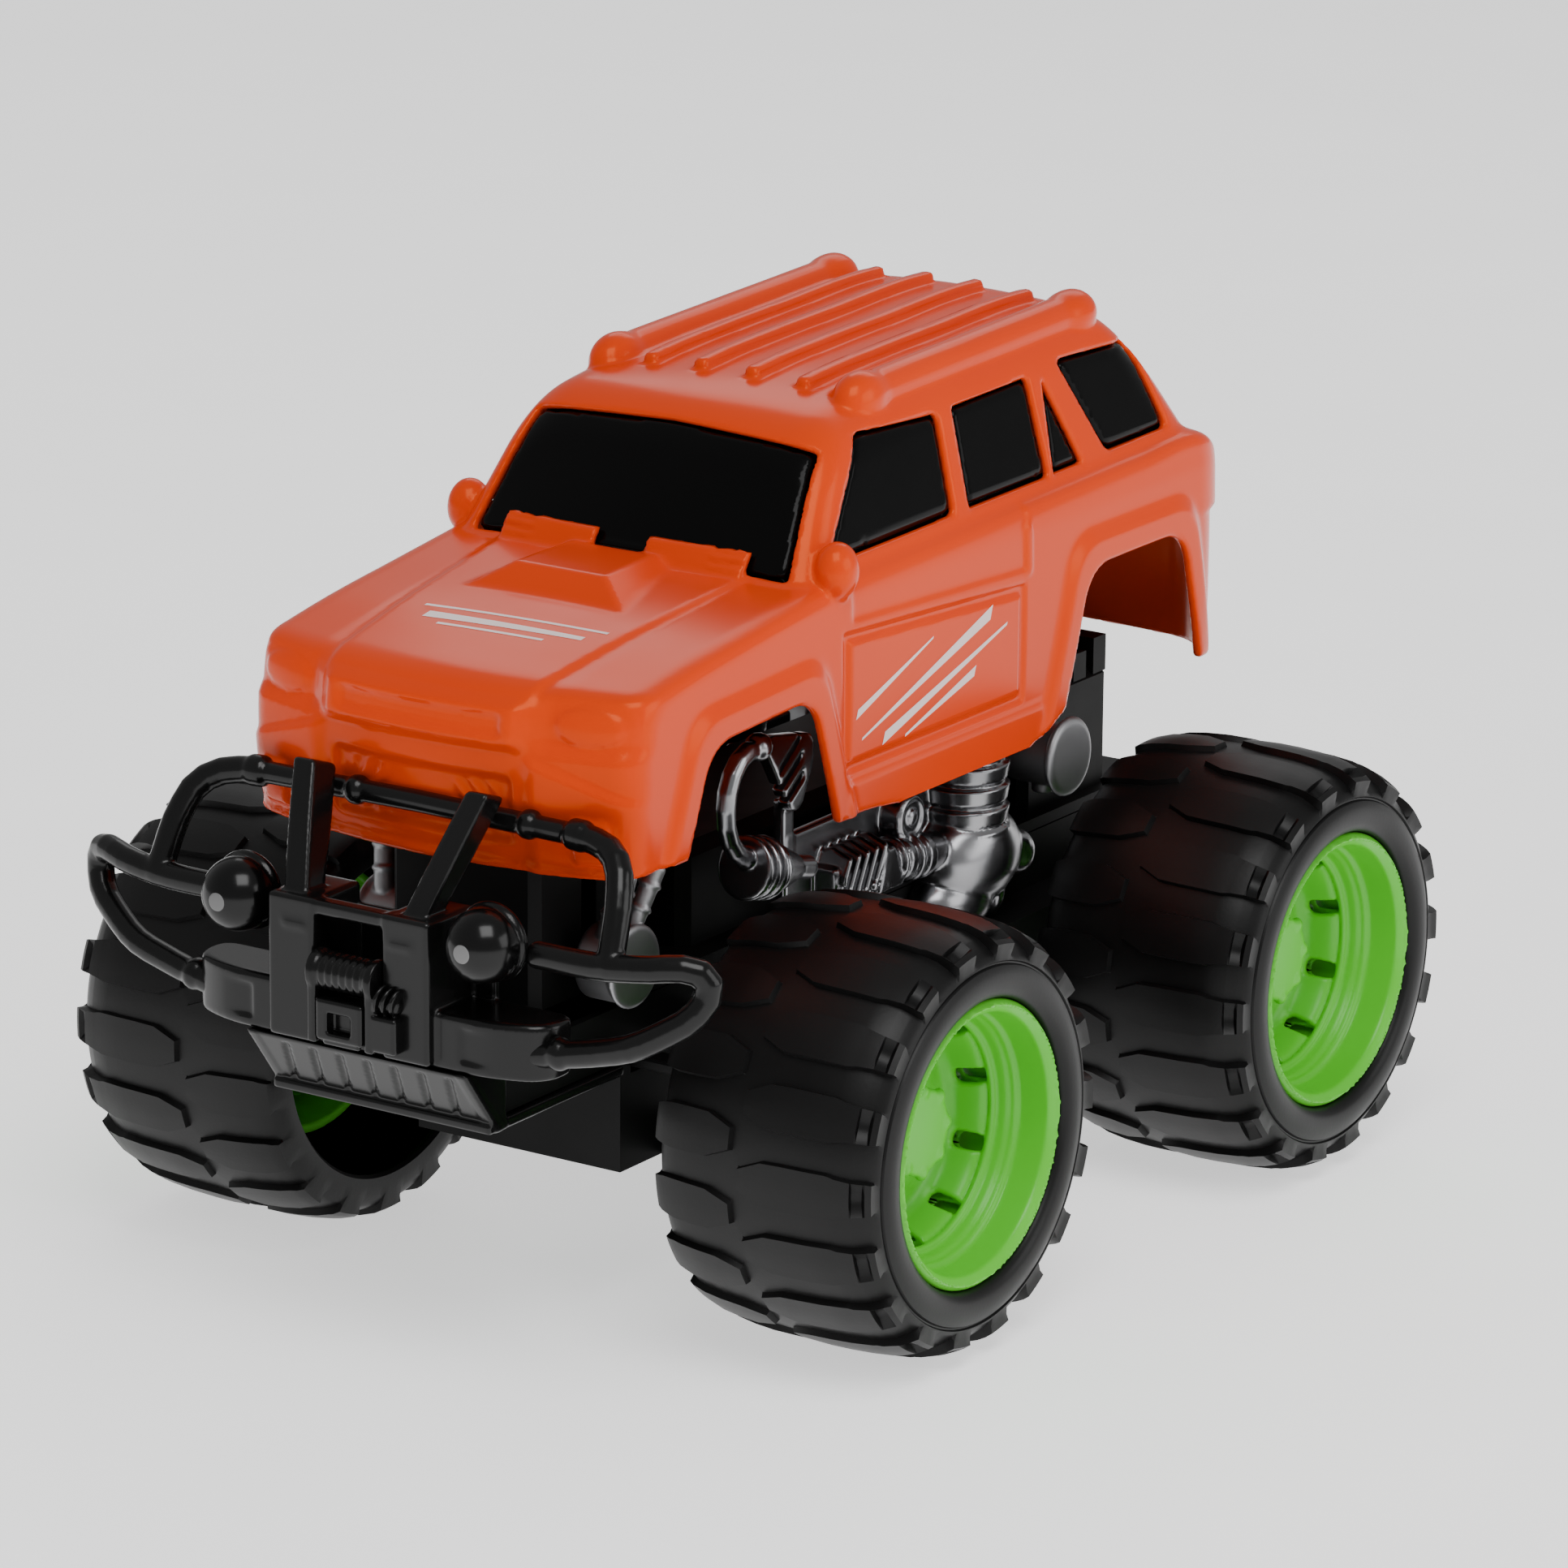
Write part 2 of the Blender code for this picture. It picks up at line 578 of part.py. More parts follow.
def make_kingpins(frame):
    for side, name in ((1, "kingpin_left"), (-1, "kingpin_right")):
        x = side * KINGPIN_X
        pin = rod((x, FRONT_Y, LOWER_ARM_Z[0]), (x, FRONT_Y, BRIDGE_Z[1]), PIN_RADIUS, sides=12)
        place(name, pin, "steel", frame)


# ---------------------------------------------------------------- bumper, lamps, winch
HOOP_TIP = (74.0, -131.0, 90.0)
LAMP = (29.6, -143.5, 93.7)
LAMP_RADIUS = 7.6


def make_front_bumper(frame):
    """Deep bumper bar with corner blocks, two winch plates and two leaning blades."""
    plan = rounded(((-43, -131, 0), (-43, -140.5, 3), (-34, -145.5, 3), (34, -145.5, 3), (43, -140.5, 3),
                    (43, -131, 0)), 2)
    bar = place("front_bumper", prism(plan, 66.4, 78.0, "Z"), "black_plastic", frame)
    join(bar, block((-24.6, -133.3 + GAP, 67.0), (24.6, -131.0, 92.0)))
    for side in (-1, 1):
        near, far = sorted((side * 8.2, side * 19.4))
        join(bar, block((near, -148.0, 67.5), (far, -132.0, 96.6)))
        foot = [(side * x, y, 92.0) for x, y in ((10.4, -147.8), (17.6, -147.8),
                                                 (17.6, -138.0), (10.4, -138.0))]
        head = [(side * x, y, z) for x, y, z in ((18.6, -131.6, 119.0), (22.6, -131.6, 119.0),
                                                 (22.6, -127.4, 117.5), (18.6, -127.4, 117.5))]
        join(bar, loft([foot, head]))
    join(bar, block((-9, -147.6, 93.4), (9, -143.6, 96.2)))


def make_bull_bar(frame):
    """Top cross tube with bent ends, and two hoops on each side."""
    half = [(40.0, -124.8, 112.0), (48.0, -126.6, 110.6), (52.6, -130.6, 105.4), (54.7, -137.0, 91.6)]
    top = [(-x, y, z) for x, y, z in reversed(half)] + half
    bars = place("bull_bar", tube_mesh(top, 2.5), "black_plastic", frame)
    for side in (-1, 1):
        hoop = [(39.0, -137.5, 91.0), (54.0, -137.0, 91.3), (66.0, -135.5, 92.6), (72.4, -133.0, 92.6),
                HOOP_TIP, (74.2, -131.6, 86.6), (71.5, -133.2, 82.4), (61.4, -137.0, 76.7),
                (52.0, -137.8, 73.6), (44.2, -137.8, 72.4)]
        join(bars, mirrored(tube_mesh(hoop, 2.9), side), use_self=True)


def make_lamps(frame):
    for side, name in ((1, "lamp_left"), (-1, "lamp_right")):
        x, y, z = side * LAMP[0], LAMP[1], LAMP[2]
        lamp = place(name, ball((x, y, z), (LAMP_RADIUS,) * 3, 16, 8), "lamp_black", frame)
        join(lamp, rod((x, y + 1.5, z), (x, y + 5.0, z), 8.2, sides=16))


def make_winch(frame):
    winch = place("winch", block((-8.0, -151.0, 68.2), (8.0, -146.0, 79.0)), "black_plastic", frame)
    spool = [(4.2, -7.0), (4.2, -6.0)] + [(3.2 + 0.6 * (k % 2), -5.6 + 2.2 * k) for k in range(6)]
    join(winch, stacked(spool + [(4.2, 6.4), (4.2, 7.0)], (0, -147.2, 82.6), 12, "X"))
    join(winch, rod((7.5, -150.8, 74.0), (13.5, -150.8, 74.0), 2.3, sides=12))
    cut(winch, block((-4.5, -160, 70.4), (4.5, -149.4, 74.4)))


def make_skid_plate(frame):
    """Grooved plate that slopes down and back under the bumper."""
    back = TUB_FRONT - 0.5
    outline = ((-145.7, 66.1), (-143.8, 66.1), (-134.6, 54.0), (back, 54.0), (back, 51.8), (-137.2, 51.8))
    plate = place("front_skid_plate", prism(outline, -26.6, 26.6, "X"), "black_plastic", frame)
    grooves = blocks(*(((7.0 * k - 25, -150, 50), (7.0 * k - 23.4, -143.0, 70)) for k in range(8)))
    cut(plate, grooves)


# ---------------------------------------------------------------- plated trim
BELLOWS = (30.5, 26.7)


def make_engine(frame, side, name):
    """Plated moulding along one side: housing, bellows, valve cover, shield and domes."""
    back = mirrored(block((24.4, -36, 72.0), (27.6, 44, 88.0)), side)
    engine = place(name, back, "plated_plastic", frame)
    x, y = BELLOWS
    ribs = [(9.6, 70.0), (9.6, 77.0)]
    for k in range(6):
        ribs += [(8.4, 78.4 + 4.6 * k), (9.6, 80.8 + 4.6 * k)]
    housing = [(4.5, -16), (9.0, -12), (10.4, -4), (10.4, 6), (8.6, 13), (4.5, 16)]
    clamp = [(3.6, -11), (4.6, -8), (4.6, -3.5), (3.9, -3), (5.2, -2), (5.2, 3), (4.2, 3.6), (5.0, 5),
             (5.0, 9)]
    bm = bmesh.new()
    add_ball(bm, (29.5, 21.5, 60.6), (8.6, 12.5, 8.4), 10, 6)
    add_ball(bm, (34.0, 41.0, 68.0), (4.6, 4.6, 5.0), 12, 6)
    pieces = [stacked(ribs + [(8.4, 106.6)], (x, y, 0), 14), stacked(housing, (30.0, 27.0, 70.5), 12, "Y"),
              stacked(clamp, (30.5, 2.0, 77.0), 10, "Y"), to_mesh(bm, "domes"),
              block((25.0, -25.0, 71.0), (35.5, -7.0, 82.5), 2.0),
              stacked([(5.2, 0.0), (5.2, 8.0), (3.0, 9.0)], (24.5, 4.0, 83.6), 12, "X")]
    for piece in pieces:
        join(engine, mirrored(piece, side), use_self=True)
    shield = prism(((-47.5, 110.5), (-45.0, 112.0), (-29.0, 109.0), (-28.0, 104.0), (-33.0, 93.5),
                    (-36.5, 93.5)), 26.0, 30.0, "X")
    join(engine, mirrored(shield, side))
    join(engine, mirrored(block((24.4, -38, 80.0), (29.0, -29, 96.0)), side))
    inner = UPPER_HALF + GAP
    deck_top = TUB_TOP + GAP + DECK_THICKNESS
    rooms = (((0, -60, 40), (inner, 80, deck_top + GAP)), ((0, -60, 60), (TUNNEL_HALF + GAP, 80, 95)),
             ((0, -60, 40), (50, 80, SHELF_TOP + GAP)))
    for low, high in rooms:
        cut(engine, mirrored(block(low, high), side))


def make_exhaust(frame, side, name):
    """Curved pipe with a ball end, running down into a finned cone."""
    route = smooth_route([(34, -56, 112.5), (34.0, -62.5, 112.6), (34, -68.0, 108.5), (34, -69.4, 102),
                          (33.6, -67.0, 95.0), (33.0, -62, 90.4), (32.6, -56.5, 87.6)], 2)
    pipe = place(name, mirrored(tube_mesh(route, 1.9, 1), side), "plated_plastic", frame)
    fins = [(3.0, -9.0)]
    for k in range(3):
        foot = -7.8 + 2.8 * k
        fins += [(4.0, foot), (6.8, foot + 0.4), (6.8, foot + 1.6), (4.4, foot + 2.0)]
    cone = stacked(fins + [(5.4, 1.4), (2.6, 10.6), (2.6, 15.0)], (32.0, -49.0, 85.5), 10, "Y")
    join(pipe, mirrored(cone, side), use_self=True)
    join(pipe, mirrored(ball((34, -56, 113.0), (2.9, 2.9, 2.9), 10, 6), side), use_self=True)


def make_canisters(frame, side, label):
    """Front canister with two feed tubes, and rear canister."""
    drum = [(8.0, -9.0), (8.0, -1.6), (8.8, -1.2), (8.8, 0.4), (7.8, 1.2)]
    front = stacked(drum, (31.0, -95.5, 76.6), 16, "X")
    obj = place("front_canister_" + label, mirrored(front, side), "plated_plastic", frame)
    bm = bmesh.new()
    add_rod(bm, (28.0, -93.0, 82.0), (30.5, -86.0, 95.0), 2.2, sides=10)
    add_rod(bm, (27.0, -99.0, 82.0), (29.5, -95.0, 95.5), 2.7, sides=10)
    join(obj, mirrored(to_mesh(bm, "feeds"), side), use_self=True)
    rear = [(4.4, -13.6), (4.4, -9.0), (7.0, -8.6), (7.0, -2.4), (8.8, -2.0), (8.8, 0.2), (7.6, 1.0)]
    obj = place("rear_canister_" + label, mirrored(stacked(rear, (38.0, 57.0, 85.0), 16, "X"), side),
                "plated_plastic", frame)
    join(obj, mirrored(rod((27.0, 60.0, 91.0), (33.0, 60.0, 95.0), 1.6, sides=8), side), use_self=True)


# ---------------------------------------------------------------- wheels
TYRE_PROFILE = ((33.5, 47.4), (38.5, 47.4), (42.2, 49.6), (45.0, 59.0), (45.0, 85.0), (44.2, 91.0),
                (41.7, 96.6), (36.9, 98.5), (30.0, 97.0), (28.6, 93.0), (28.6, 72.0), (31.0, 72.0),
                (31.5, 92.0), (38.0, 93.0), (41.8, 84.0), (41.8, 62.0), (38.5, 51.6), (33.5, 50.6))
RIM_PROFILE = ((0, 83.6), (9.0, 83.6), (9.8, 76.4), (20.4, 77.4), (22.8, 83.4), (24.2, 84.0), (24.8, 87.8),
               (26.2, 88.4), (27.6, 96.4), (29.2, 96.4), (28.2, 93.4),
               (28.2, 68.0), (26.4, 68.0), (26.2, 82.0), (21.0, 76.0), (6.0, 74.0), (6.0, 66.0),
               (2.2, 66.0), (2.2, 80.5), (0, 80.5))
VENT_COUNT = 8


def outward_turn(side):
    """Turns local Z to the truck's left or right."""
    return (0, side * math.pi / 2, 0)


def make_wheel(label, side, hub):
    """Hollow tyre, open on its inner side, and a deep dished rim."""
    turned("tyre_" + label, TYRE_PROFILE[::-1], "tyre_rubber", hub, outward_turn(side), 24, ring=True)
    rim = turned("rim_" + label, RIM_PROFILE, "rim_green", hub, outward_turn(side), 16, ring=False)
    for index in range(VENT_COUNT):
        angle = math.tau * (index + 0.5) / VENT_COUNT
        y, z = 15.4 * math.cos(angle), 15.4 * math.sin(angle)
        outline = [(3.4 * math.cos(t), 1.9 * math.sin(t)) for t in
                   (math.tau * k / 6 for k in range(6))]
        turned_outline = [(y + a * math.cos(angle) - b * math.sin(angle),
                           z + a * math.sin(angle) + b * math.cos(angle)) for a, b in outline]
        cut(rim, mirrored(prism(turned_outline, 60, 84, "X"), side))


def make_knuckle(side, label, pivot):
    """Block on the kingpin with a steering arm and the wheel's stub axle."""
    upright = block((-4.4, -5, 36.0), (4.0, 5, 54.4), 0.6)
    knuckle = place("knuckle_" + label, upright, "black_plastic", pivot)
    arm_low, arm_high = 46.8, 51.4
    join(knuckle, block((-3.0, -STEERING_ARM - 3.0, arm_low), (3.0, -3.0, arm_high)))
    pin_top = TIE_ROD_Z[1] + 0.8
    join(knuckle, rod((0, -STEERING_ARM, arm_high - 1), (0, -STEERING_ARM, pin_top), PIN_RADIUS))
    cut(knuckle, rod((0, 0, 30), (0, 0, 60), PIN_RADIUS + RUNNING, sides=12))
    ends = sorted((side * 2.0, side * 10.0))
    cut(knuckle, rod((ends[0], 0, AXLE_HEIGHT), (ends[1], 0, AXLE_HEIGHT), 1.6, sides=16))
    stub = rod((side * 2.1, 0, AXLE_HEIGHT), (side * 12.0, 0, AXLE_HEIGHT), PIN_RADIUS)
    axle = place("stub_axle_" + label, stub, "steel", pivot)
    join(axle, rod((side * 4.4, 0, AXLE_HEIGHT), (side * 36.0, 0, AXLE_HEIGHT), HUB_PIN_RADIUS, sides=16))


def make_steering(frame):
    for side, label in ((1, "left"), (-1, "right")):
        pivot = new_empty("steer_" + label, (side * KINGPIN_X, FRONT_Y, 0), frame)
        make_knuckle(side, label, pivot)
    rod_half = KINGPIN_X + 3.4
    bar = block((-rod_half, TIE_ROD_Y - 2.9, TIE_ROD_Z[0]), (rod_half, TIE_ROD_Y + 3.1, TIE_ROD_Z[1]), 0.5)
    tie = place("tie_rod", bar, "black_plastic", frame)
    for x in (-KINGPIN_X, 0, KINGPIN_X):
        slot = rounded(((x - 1.8, TIE_ROD_Y - 1.8, 1.0), (x + 1.8, TIE_ROD_Y - 1.8, 1.0),
                        (x + 1.8, TIE_ROD_Y + 2.4, 1.0), (x - 1.8, TIE_ROD_Y + 2.4, 1.0)), 3)
        cut(tie, prism(slot, 50, 57, "Z"))
    case = block((-10, FRONT_Y - 12, FLOOR_TOP + GAP), (10, FRONT_Y + 12, 47.0), 0.8)
    servo = place("steering_servo", case, "black_plastic", frame)
    join(servo, rod((0, FRONT_Y, 46), (0, FRONT_Y, 51.6), PIN_RADIUS))
    pivot = new_empty("servo_axis", (0, FRONT_Y, 0), frame)
    horn = place("servo_horn", rod((0, 0, 47.6), (0, 0, 51.4), 3.6, sides=16), "white_plastic", pivot)
    join(horn, block((-2.4, -STEERING_ARM - 2.4, 47.6), (2.4, 0, 51.4)))
    join(horn, rod((0, -STEERING_ARM, 50), (0, -STEERING_ARM, TIE_ROD_Z[1] + 0.8), PIN_RADIUS))
    cut(horn, rod((0, 0, 40), (0, 0, 60), PIN_RADIUS + RUNNING))


# ---------------------------------------------------------------- drive train
AXLE_TEETH = 20
IDLER_SMALL_TEETH = 10
IDLER_LARGE_TEETH = 22
PINION_TEETH = 8
IDLER_RISE = 7.0
AXLE_TO_IDLER = (AXLE_TEETH + IDLER_SMALL_TEETH) * MODULE / 2
IDLER_Y = REAR_Y - math.sqrt(AXLE_TO_IDLER ** 2 - IDLER_RISE ** 2)
IDLER_Z = AXLE_HEIGHT + IDLER_RISE
PINION_Y = IDLER_Y - (IDLER_LARGE_TEETH + PINION_TEETH) * MODULE / 2
MOTOR_RADIUS = 10.0


def gear_outline(teeth, tooth_angle):
    """Straight-sided teeth round (0, 0), one of them centred on tooth_angle."""
    pitch_radius = teeth * MODULE / 2
    pitch = math.tau / teeth
    tooth = ((-1.15, -0.27), (0.8, -0.09), (0.8, 0.09), (-1.15, 0.27))
    points = []
    for index in range(teeth):
        for rise, shift in tooth:
            angle = tooth_angle + pitch * (index + shift)
            radius = pitch_radius + rise * MODULE
            points.append((radius * math.cos(angle), radius * math.sin(angle)))
    return points


def make_drive(frame):
    to_idler = math.atan2(IDLER_RISE, IDLER_Y - REAR_Y)
    rear = new_empty("rear_axle_axis", (0, REAR_Y, AXLE_HEIGHT), frame)
    place("rear_axle", rod((-79.0, 0, 0), (79.0, 0, 0), HUB_PIN_RADIUS, sides=16), "steel", rear)
    large = prism(gear_outline(AXLE_TEETH, to_idler), DRIVE_X - 3.0, DRIVE_X + 3.0, "X")
    gear = place("axle_gear", large, "white_plastic", rear)
    cut(gear, rod((DRIVE_X - 5, 0, 0), (DRIVE_X + 5, 0, 0), HUB_PIN_RADIUS + RUNNING, sides=16))
    for side, label in ((1, "rear_left"), (-1, "rear_right")):
        make_wheel(label, side, rear)
    idler = new_empty("idler_axis", (0, IDLER_Y, IDLER_Z), frame)
    half_small = math.pi / IDLER_SMALL_TEETH
    small = prism(gear_outline(IDLER_SMALL_TEETH, to_idler + math.pi + half_small), DRIVE_X - 3.4,
                  DRIVE_X + 4.2, "X")
    gear = place("idler_gear", small, "white_plastic", idler)
    join(gear, prism(gear_outline(IDLER_LARGE_TEETH, math.pi), DRIVE_X + 3.8, DRIVE_X + 8.0, "X"))
    cut(gear, rod((DRIVE_X - 9, 0, 0), (DRIVE_X + 12, 0, 0), PIN_RADIUS + RUNNING))
    shaft = rod((GEARBOX_X[0] + 1.4, IDLER_Y, IDLER_Z), (GEARBOX_X[1] + 0.1, IDLER_Y, IDLER_Z), PIN_RADIUS)
    place("idler_shaft", shaft, "steel", frame)
    motor_axis = new_empty("motor_axis", (0, PINION_Y, IDLER_Z), frame)
    teeth = prism(gear_outline(PINION_TEETH, math.pi / PINION_TEETH), DRIVE_X + 3.8, DRIVE_X + 8.2, "X")
    pinion = place("motor_pinion", teeth, "steel", motor_axis)
    join(pinion, rod((DRIVE_X - 8.4, 0, 0), (DRIVE_X + 4.0, 0, 0), 1.1, sides=12))
    can = rod((-24.6, PINION_Y, IDLER_Z), (-2.0, PINION_Y, IDLER_Z), MOTOR_RADIUS)
    motor = place("motor", can, "steel", frame)
    cut(motor, rod((-5.0, PINION_Y, IDLER_Z), (0, PINION_Y, IDLER_Z), 1.1 + RUNNING, sides=12))


def make_gearbox(frame):
    """Cup that holds the gears, and its flat cover."""
    (x0, x1), (y0, y1), (z0, z1) = GEARBOX_X, GEARBOX_Y, GEARBOX_Z
    base = place("gearbox_base", block((x0, y0, z0), (x1, y1, z1), 0.5), "black_plastic", frame)
    cut(base, block((x0 + 1.2, y0 + 1.2, z0 + 1.2), (x1 + 5, y1 - 1.2, z1 - 1.2)))
    axle_hole = HUB_PIN_RADIUS + 0.4
    cut(base, rod((x0 - 3, REAR_Y, AXLE_HEIGHT), (x1, REAR_Y, AXLE_HEIGHT), axle_hole))
    cut(base, rod((x0 - 3, PINION_Y, IDLER_Z), (x0 + 6, PINION_Y, IDLER_Z), 1.8, sides=12))
    lid = block((x1 + GAP, y0, z0), (x1 + 2.3, y1, z1), 0.4)
    cover = place("gearbox_cover", lid, "black_plastic", frame)
    cut(cover, rod((x1 - 1, REAR_Y, AXLE_HEIGHT), (x1 + 5, REAR_Y, AXLE_HEIGHT), axle_hole))


def make_bushings(frame):
    for side, label in ((1, "left"), (-1, "right")):
        inner, outer = side * 34.0, side * 42.0
        sleeve = rod((inner, REAR_Y, AXLE_HEIGHT), (outer, REAR_Y, AXLE_HEIGHT), 4.2)
        bush = place("axle_bushing_" + label, sleeve, "steel", frame)
        cut(bush, rod((side * 30, REAR_Y, AXLE_HEIGHT), (side * 45, REAR_Y, AXLE_HEIGHT),
                      HUB_PIN_RADIUS + RUNNING, sides=16))


# ---------------------------------------------------------------- power and radio
HINGE_Y = DOOR_FRONT + 1.2
HINGE_Z = 32.2
SWITCH_REST_X = -2.5         # off; on is 5 mm to the left of the truck


def make_battery_bay(frame):
    low, high = FLOOR_TOP + GAP, 51.0
    bay = place("battery_box", block((-29.0, -17.1, low), (29.0, 30.9, high)), "black_plastic", frame)
    cut(bay, block((-27.6, -15.7, low - 5), (27.6, 29.5, high - 1.4)))
    for index, y in enumerate(BATTERY_Y, 1):
        way = 1 if index % 2 else -1
        end = BATTERY_HALF - 0.6
        cell = rod((-end, y, BATTERY_Z), (end, y, BATTERY_Z), BATTERY_RADIUS)
        obj = place(f"battery_{index}", cell, "battery_skin", frame)
        tip = sorted((way * (BATTERY_HALF - 1), way * (BATTERY_HALF + 0.9)))
        join(obj, rod((tip[0], y, BATTERY_Z), (tip[1], y, BATTERY_Z), 2.6, sides=12))
    hinge = new_empty("battery_door_axis", (0, HINGE_Y, HINGE_Z), frame)
    door = place("battery_door", block((-DOOR_HALF, DOOR_FRONT - HINGE_Y, FLOOR_BOTTOM - HINGE_Z),
                                       (DOOR_HALF, DOOR_BACK - HINGE_Y, FLOOR_TOP - 0.3 - HINGE_Z), 0.4),
                 "black_plastic", hinge)
    screw_y = DOOR_BACK - 3.2 - HINGE_Y
    cut(door, rod((0, screw_y, -3), (0, screw_y, 0.2), 2.5, sides=12))
    cut(door, rod((0, screw_y, -3), (0, screw_y, 3), 1.4, sides=12))
    head = rod((0, screw_y, -1.15), (0, screw_y, -0.1), 2.2, sides=12)
    screw = place("battery_door_screw", head, "steel", hinge)
    join(screw, rod((0, screw_y, -0.6), (0, screw_y, 1.2), 1.1, sides=8))


def make_electronics(frame):
    board = place("receiver_board", block((-16.6, -50, 70.0), (16.6, 10, 71.6)), "board_green", frame)
    chips = blocks(((-12, -40, 71), (-2, -28, 74.5)), ((4, -36, 71), (10, -30, 76)),
                   ((-10, -14, 71), (4, -6, 74)))
    join(board, chips)
    left, right = SWITCH_REST_X - 4.6, SWITCH_REST_X + 4.6
    slider = block((left, -49.4, 34.0), (right, -45.6, 37.0))
    switch = place("power_switch", slider, "black_plastic", frame)
    join(switch, block((SWITCH_REST_X - 1.5, -49.0, 29.6), (SWITCH_REST_X + 1.5, -46.0, 35.0)))


def make_leads(frame):
    """Wires from the battery box and from the motor up to the receiver board."""
    routes = {"battery_lead": [(12, 6, 52.1), (12.4, 4, 58.0), (13, -2, 64.0), (13, -4, 68.9)],
              "motor_lead": [(-15, 41.7, 63.2), (-15, 34, 64.6), (-14.6, 20, 65.4), (-14, 6, 68.9)]}
    for name, points in routes.items():
        route = smooth_route(points, 4)
        place(name, tube_mesh(route, 0.8, 1), "wire_red", frame)


def build():
    frame = new_empty("truck_frame", (0, MIDDLE_SHIFT, 0))
    make_body_shell(frame)
    make_window_insert(frame)
    make_chassis_lower(frame)
    make_chassis_upper(frame)
    make_body_screws(frame)
    make_front_bridge(frame)
    make_kingpins(frame)
    make_front_bumper(frame)
    make_bull_bar(frame)
    make_lamps(frame)
    make_winch(frame)
    make_skid_plate(frame)
    for side, label in ((1, "left"), (-1, "right")):
        make_engine(frame, side, "engine_trim_" + label)
        make_exhaust(frame, side, "exhaust_pipe_" + label)
        make_canisters(frame, side, label)
        hub = new_empty("front_hub_" + label, (0, FRONT_Y, AXLE_HEIGHT), frame)
        make_wheel("front_" + label, side, hub)
    make_steering(frame)
    make_drive(frame)
    make_gearbox(frame)
    make_bushings(frame)
    make_battery_bay(frame)
    make_electronics(frame)
    make_leads(frame)


clear_scene()
PARTS = new_collection("monster_truck")
CUTTERS = new_collection("cutters")
build()
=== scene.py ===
"""Looks of the radio controlled monster truck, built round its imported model.

Lengths are in millimetres in the truck's construction frame: Y = 0 midway between the axles,
-Y the front, +X the truck's left, heights from the ground. Meshes are stored in metres.
Moulded pieces are implicit surfaces: a field is negative inside the piece and grows with distance.
"""
import math

import bpy
import numpy as np
from mathutils import Matrix, Vector


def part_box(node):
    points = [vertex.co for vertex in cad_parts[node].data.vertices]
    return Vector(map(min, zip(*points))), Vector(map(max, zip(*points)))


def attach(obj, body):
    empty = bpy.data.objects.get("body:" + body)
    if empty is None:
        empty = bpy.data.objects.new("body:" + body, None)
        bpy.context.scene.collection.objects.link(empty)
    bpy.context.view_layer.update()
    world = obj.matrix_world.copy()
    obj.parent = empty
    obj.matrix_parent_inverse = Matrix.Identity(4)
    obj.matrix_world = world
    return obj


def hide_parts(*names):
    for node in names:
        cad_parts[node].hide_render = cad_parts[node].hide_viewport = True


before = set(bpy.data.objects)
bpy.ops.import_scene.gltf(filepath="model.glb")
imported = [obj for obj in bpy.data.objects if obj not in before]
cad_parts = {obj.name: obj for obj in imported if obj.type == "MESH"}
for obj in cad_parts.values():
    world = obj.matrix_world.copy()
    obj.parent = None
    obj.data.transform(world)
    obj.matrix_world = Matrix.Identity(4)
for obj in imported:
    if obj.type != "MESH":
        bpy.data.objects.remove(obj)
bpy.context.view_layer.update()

MM = 0.001


def box_mm(node):
    low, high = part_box(node)
    return np.array(low) / MM, np.array(high) / MM


def middle_of(node):
    low, high = box_mm(node)
    return (low + high) / 2


REAR_AXLE = middle_of("rear_axle")
KINGPIN = middle_of("kingpin_left")
MIDDLE = (REAR_AXLE[1] + KINGPIN[1]) / 2          # world Y of the construction frame's origin
AXLE_Y = REAR_AXLE[1] - MIDDLE                    # the front axle is at -AXLE_Y
TYRE_HIGH = box_mm("tyre_front_left")[1]
TYRE_RADIUS = TYRE_HIGH[2] / 2
FINE = 1.0                # multiplies the grid steps
# label: body it rides on, side of the truck, y of its axle
WHEELS = {"front_left": ("wheel_front_left", 1, -AXLE_Y),
          "front_right": ("wheel_front_right", -1, -AXLE_Y),
          "rear_left": ("rear_axle", 1, AXLE_Y),
          "rear_right": ("rear_axle", -1, AXLE_Y)}
SIDES = ((1, "left"), (-1, "right"))


# -------------------------------- fields
def smax(a, b, fillet):
    """The larger of two fields, rounded where they are closer than the fillet."""
    near = np.maximum(fillet - np.abs(a - b), 0.0) / fillet
    return np.maximum(a, b) + near * near * fillet * 0.25


def smin(a, b, fillet):
    return -smax(-a, -b, fillet)


def join(fields, fillet):
    total = fields[0]
    for field in fields[1:]:
        total = smin(total, field, fillet)
    return total


def meet(fields, fillet):
    total = fields[0]
    for field in fields[1:]:
        total = smax(total, field, fillet)
    return total


def ellipsoid(p, centre, radii):
    scaled = [(p[i] - centre[i]) / radii[i] for i in range(3)]
    length = np.sqrt(sum(s * s for s in scaled))
    slope = np.sqrt(sum((scaled[i] / radii[i]) ** 2 for i in range(3)))
    return length * (length - 1.0) / np.maximum(slope, 1e-6)


def brick(p, low, high, edge=0.6):
    """Box with rounded edges."""
    away = [np.abs(p[i] - (low[i] + high[i]) / 2) - (high[i] - low[i]) / 2 + edge for i in range(3)]
    outside = np.sqrt(sum(np.maximum(a, 0.0) ** 2 for a in away))
    return outside + np.minimum(np.maximum(np.maximum(away[0], away[1]), away[2]), 0.0) - edge


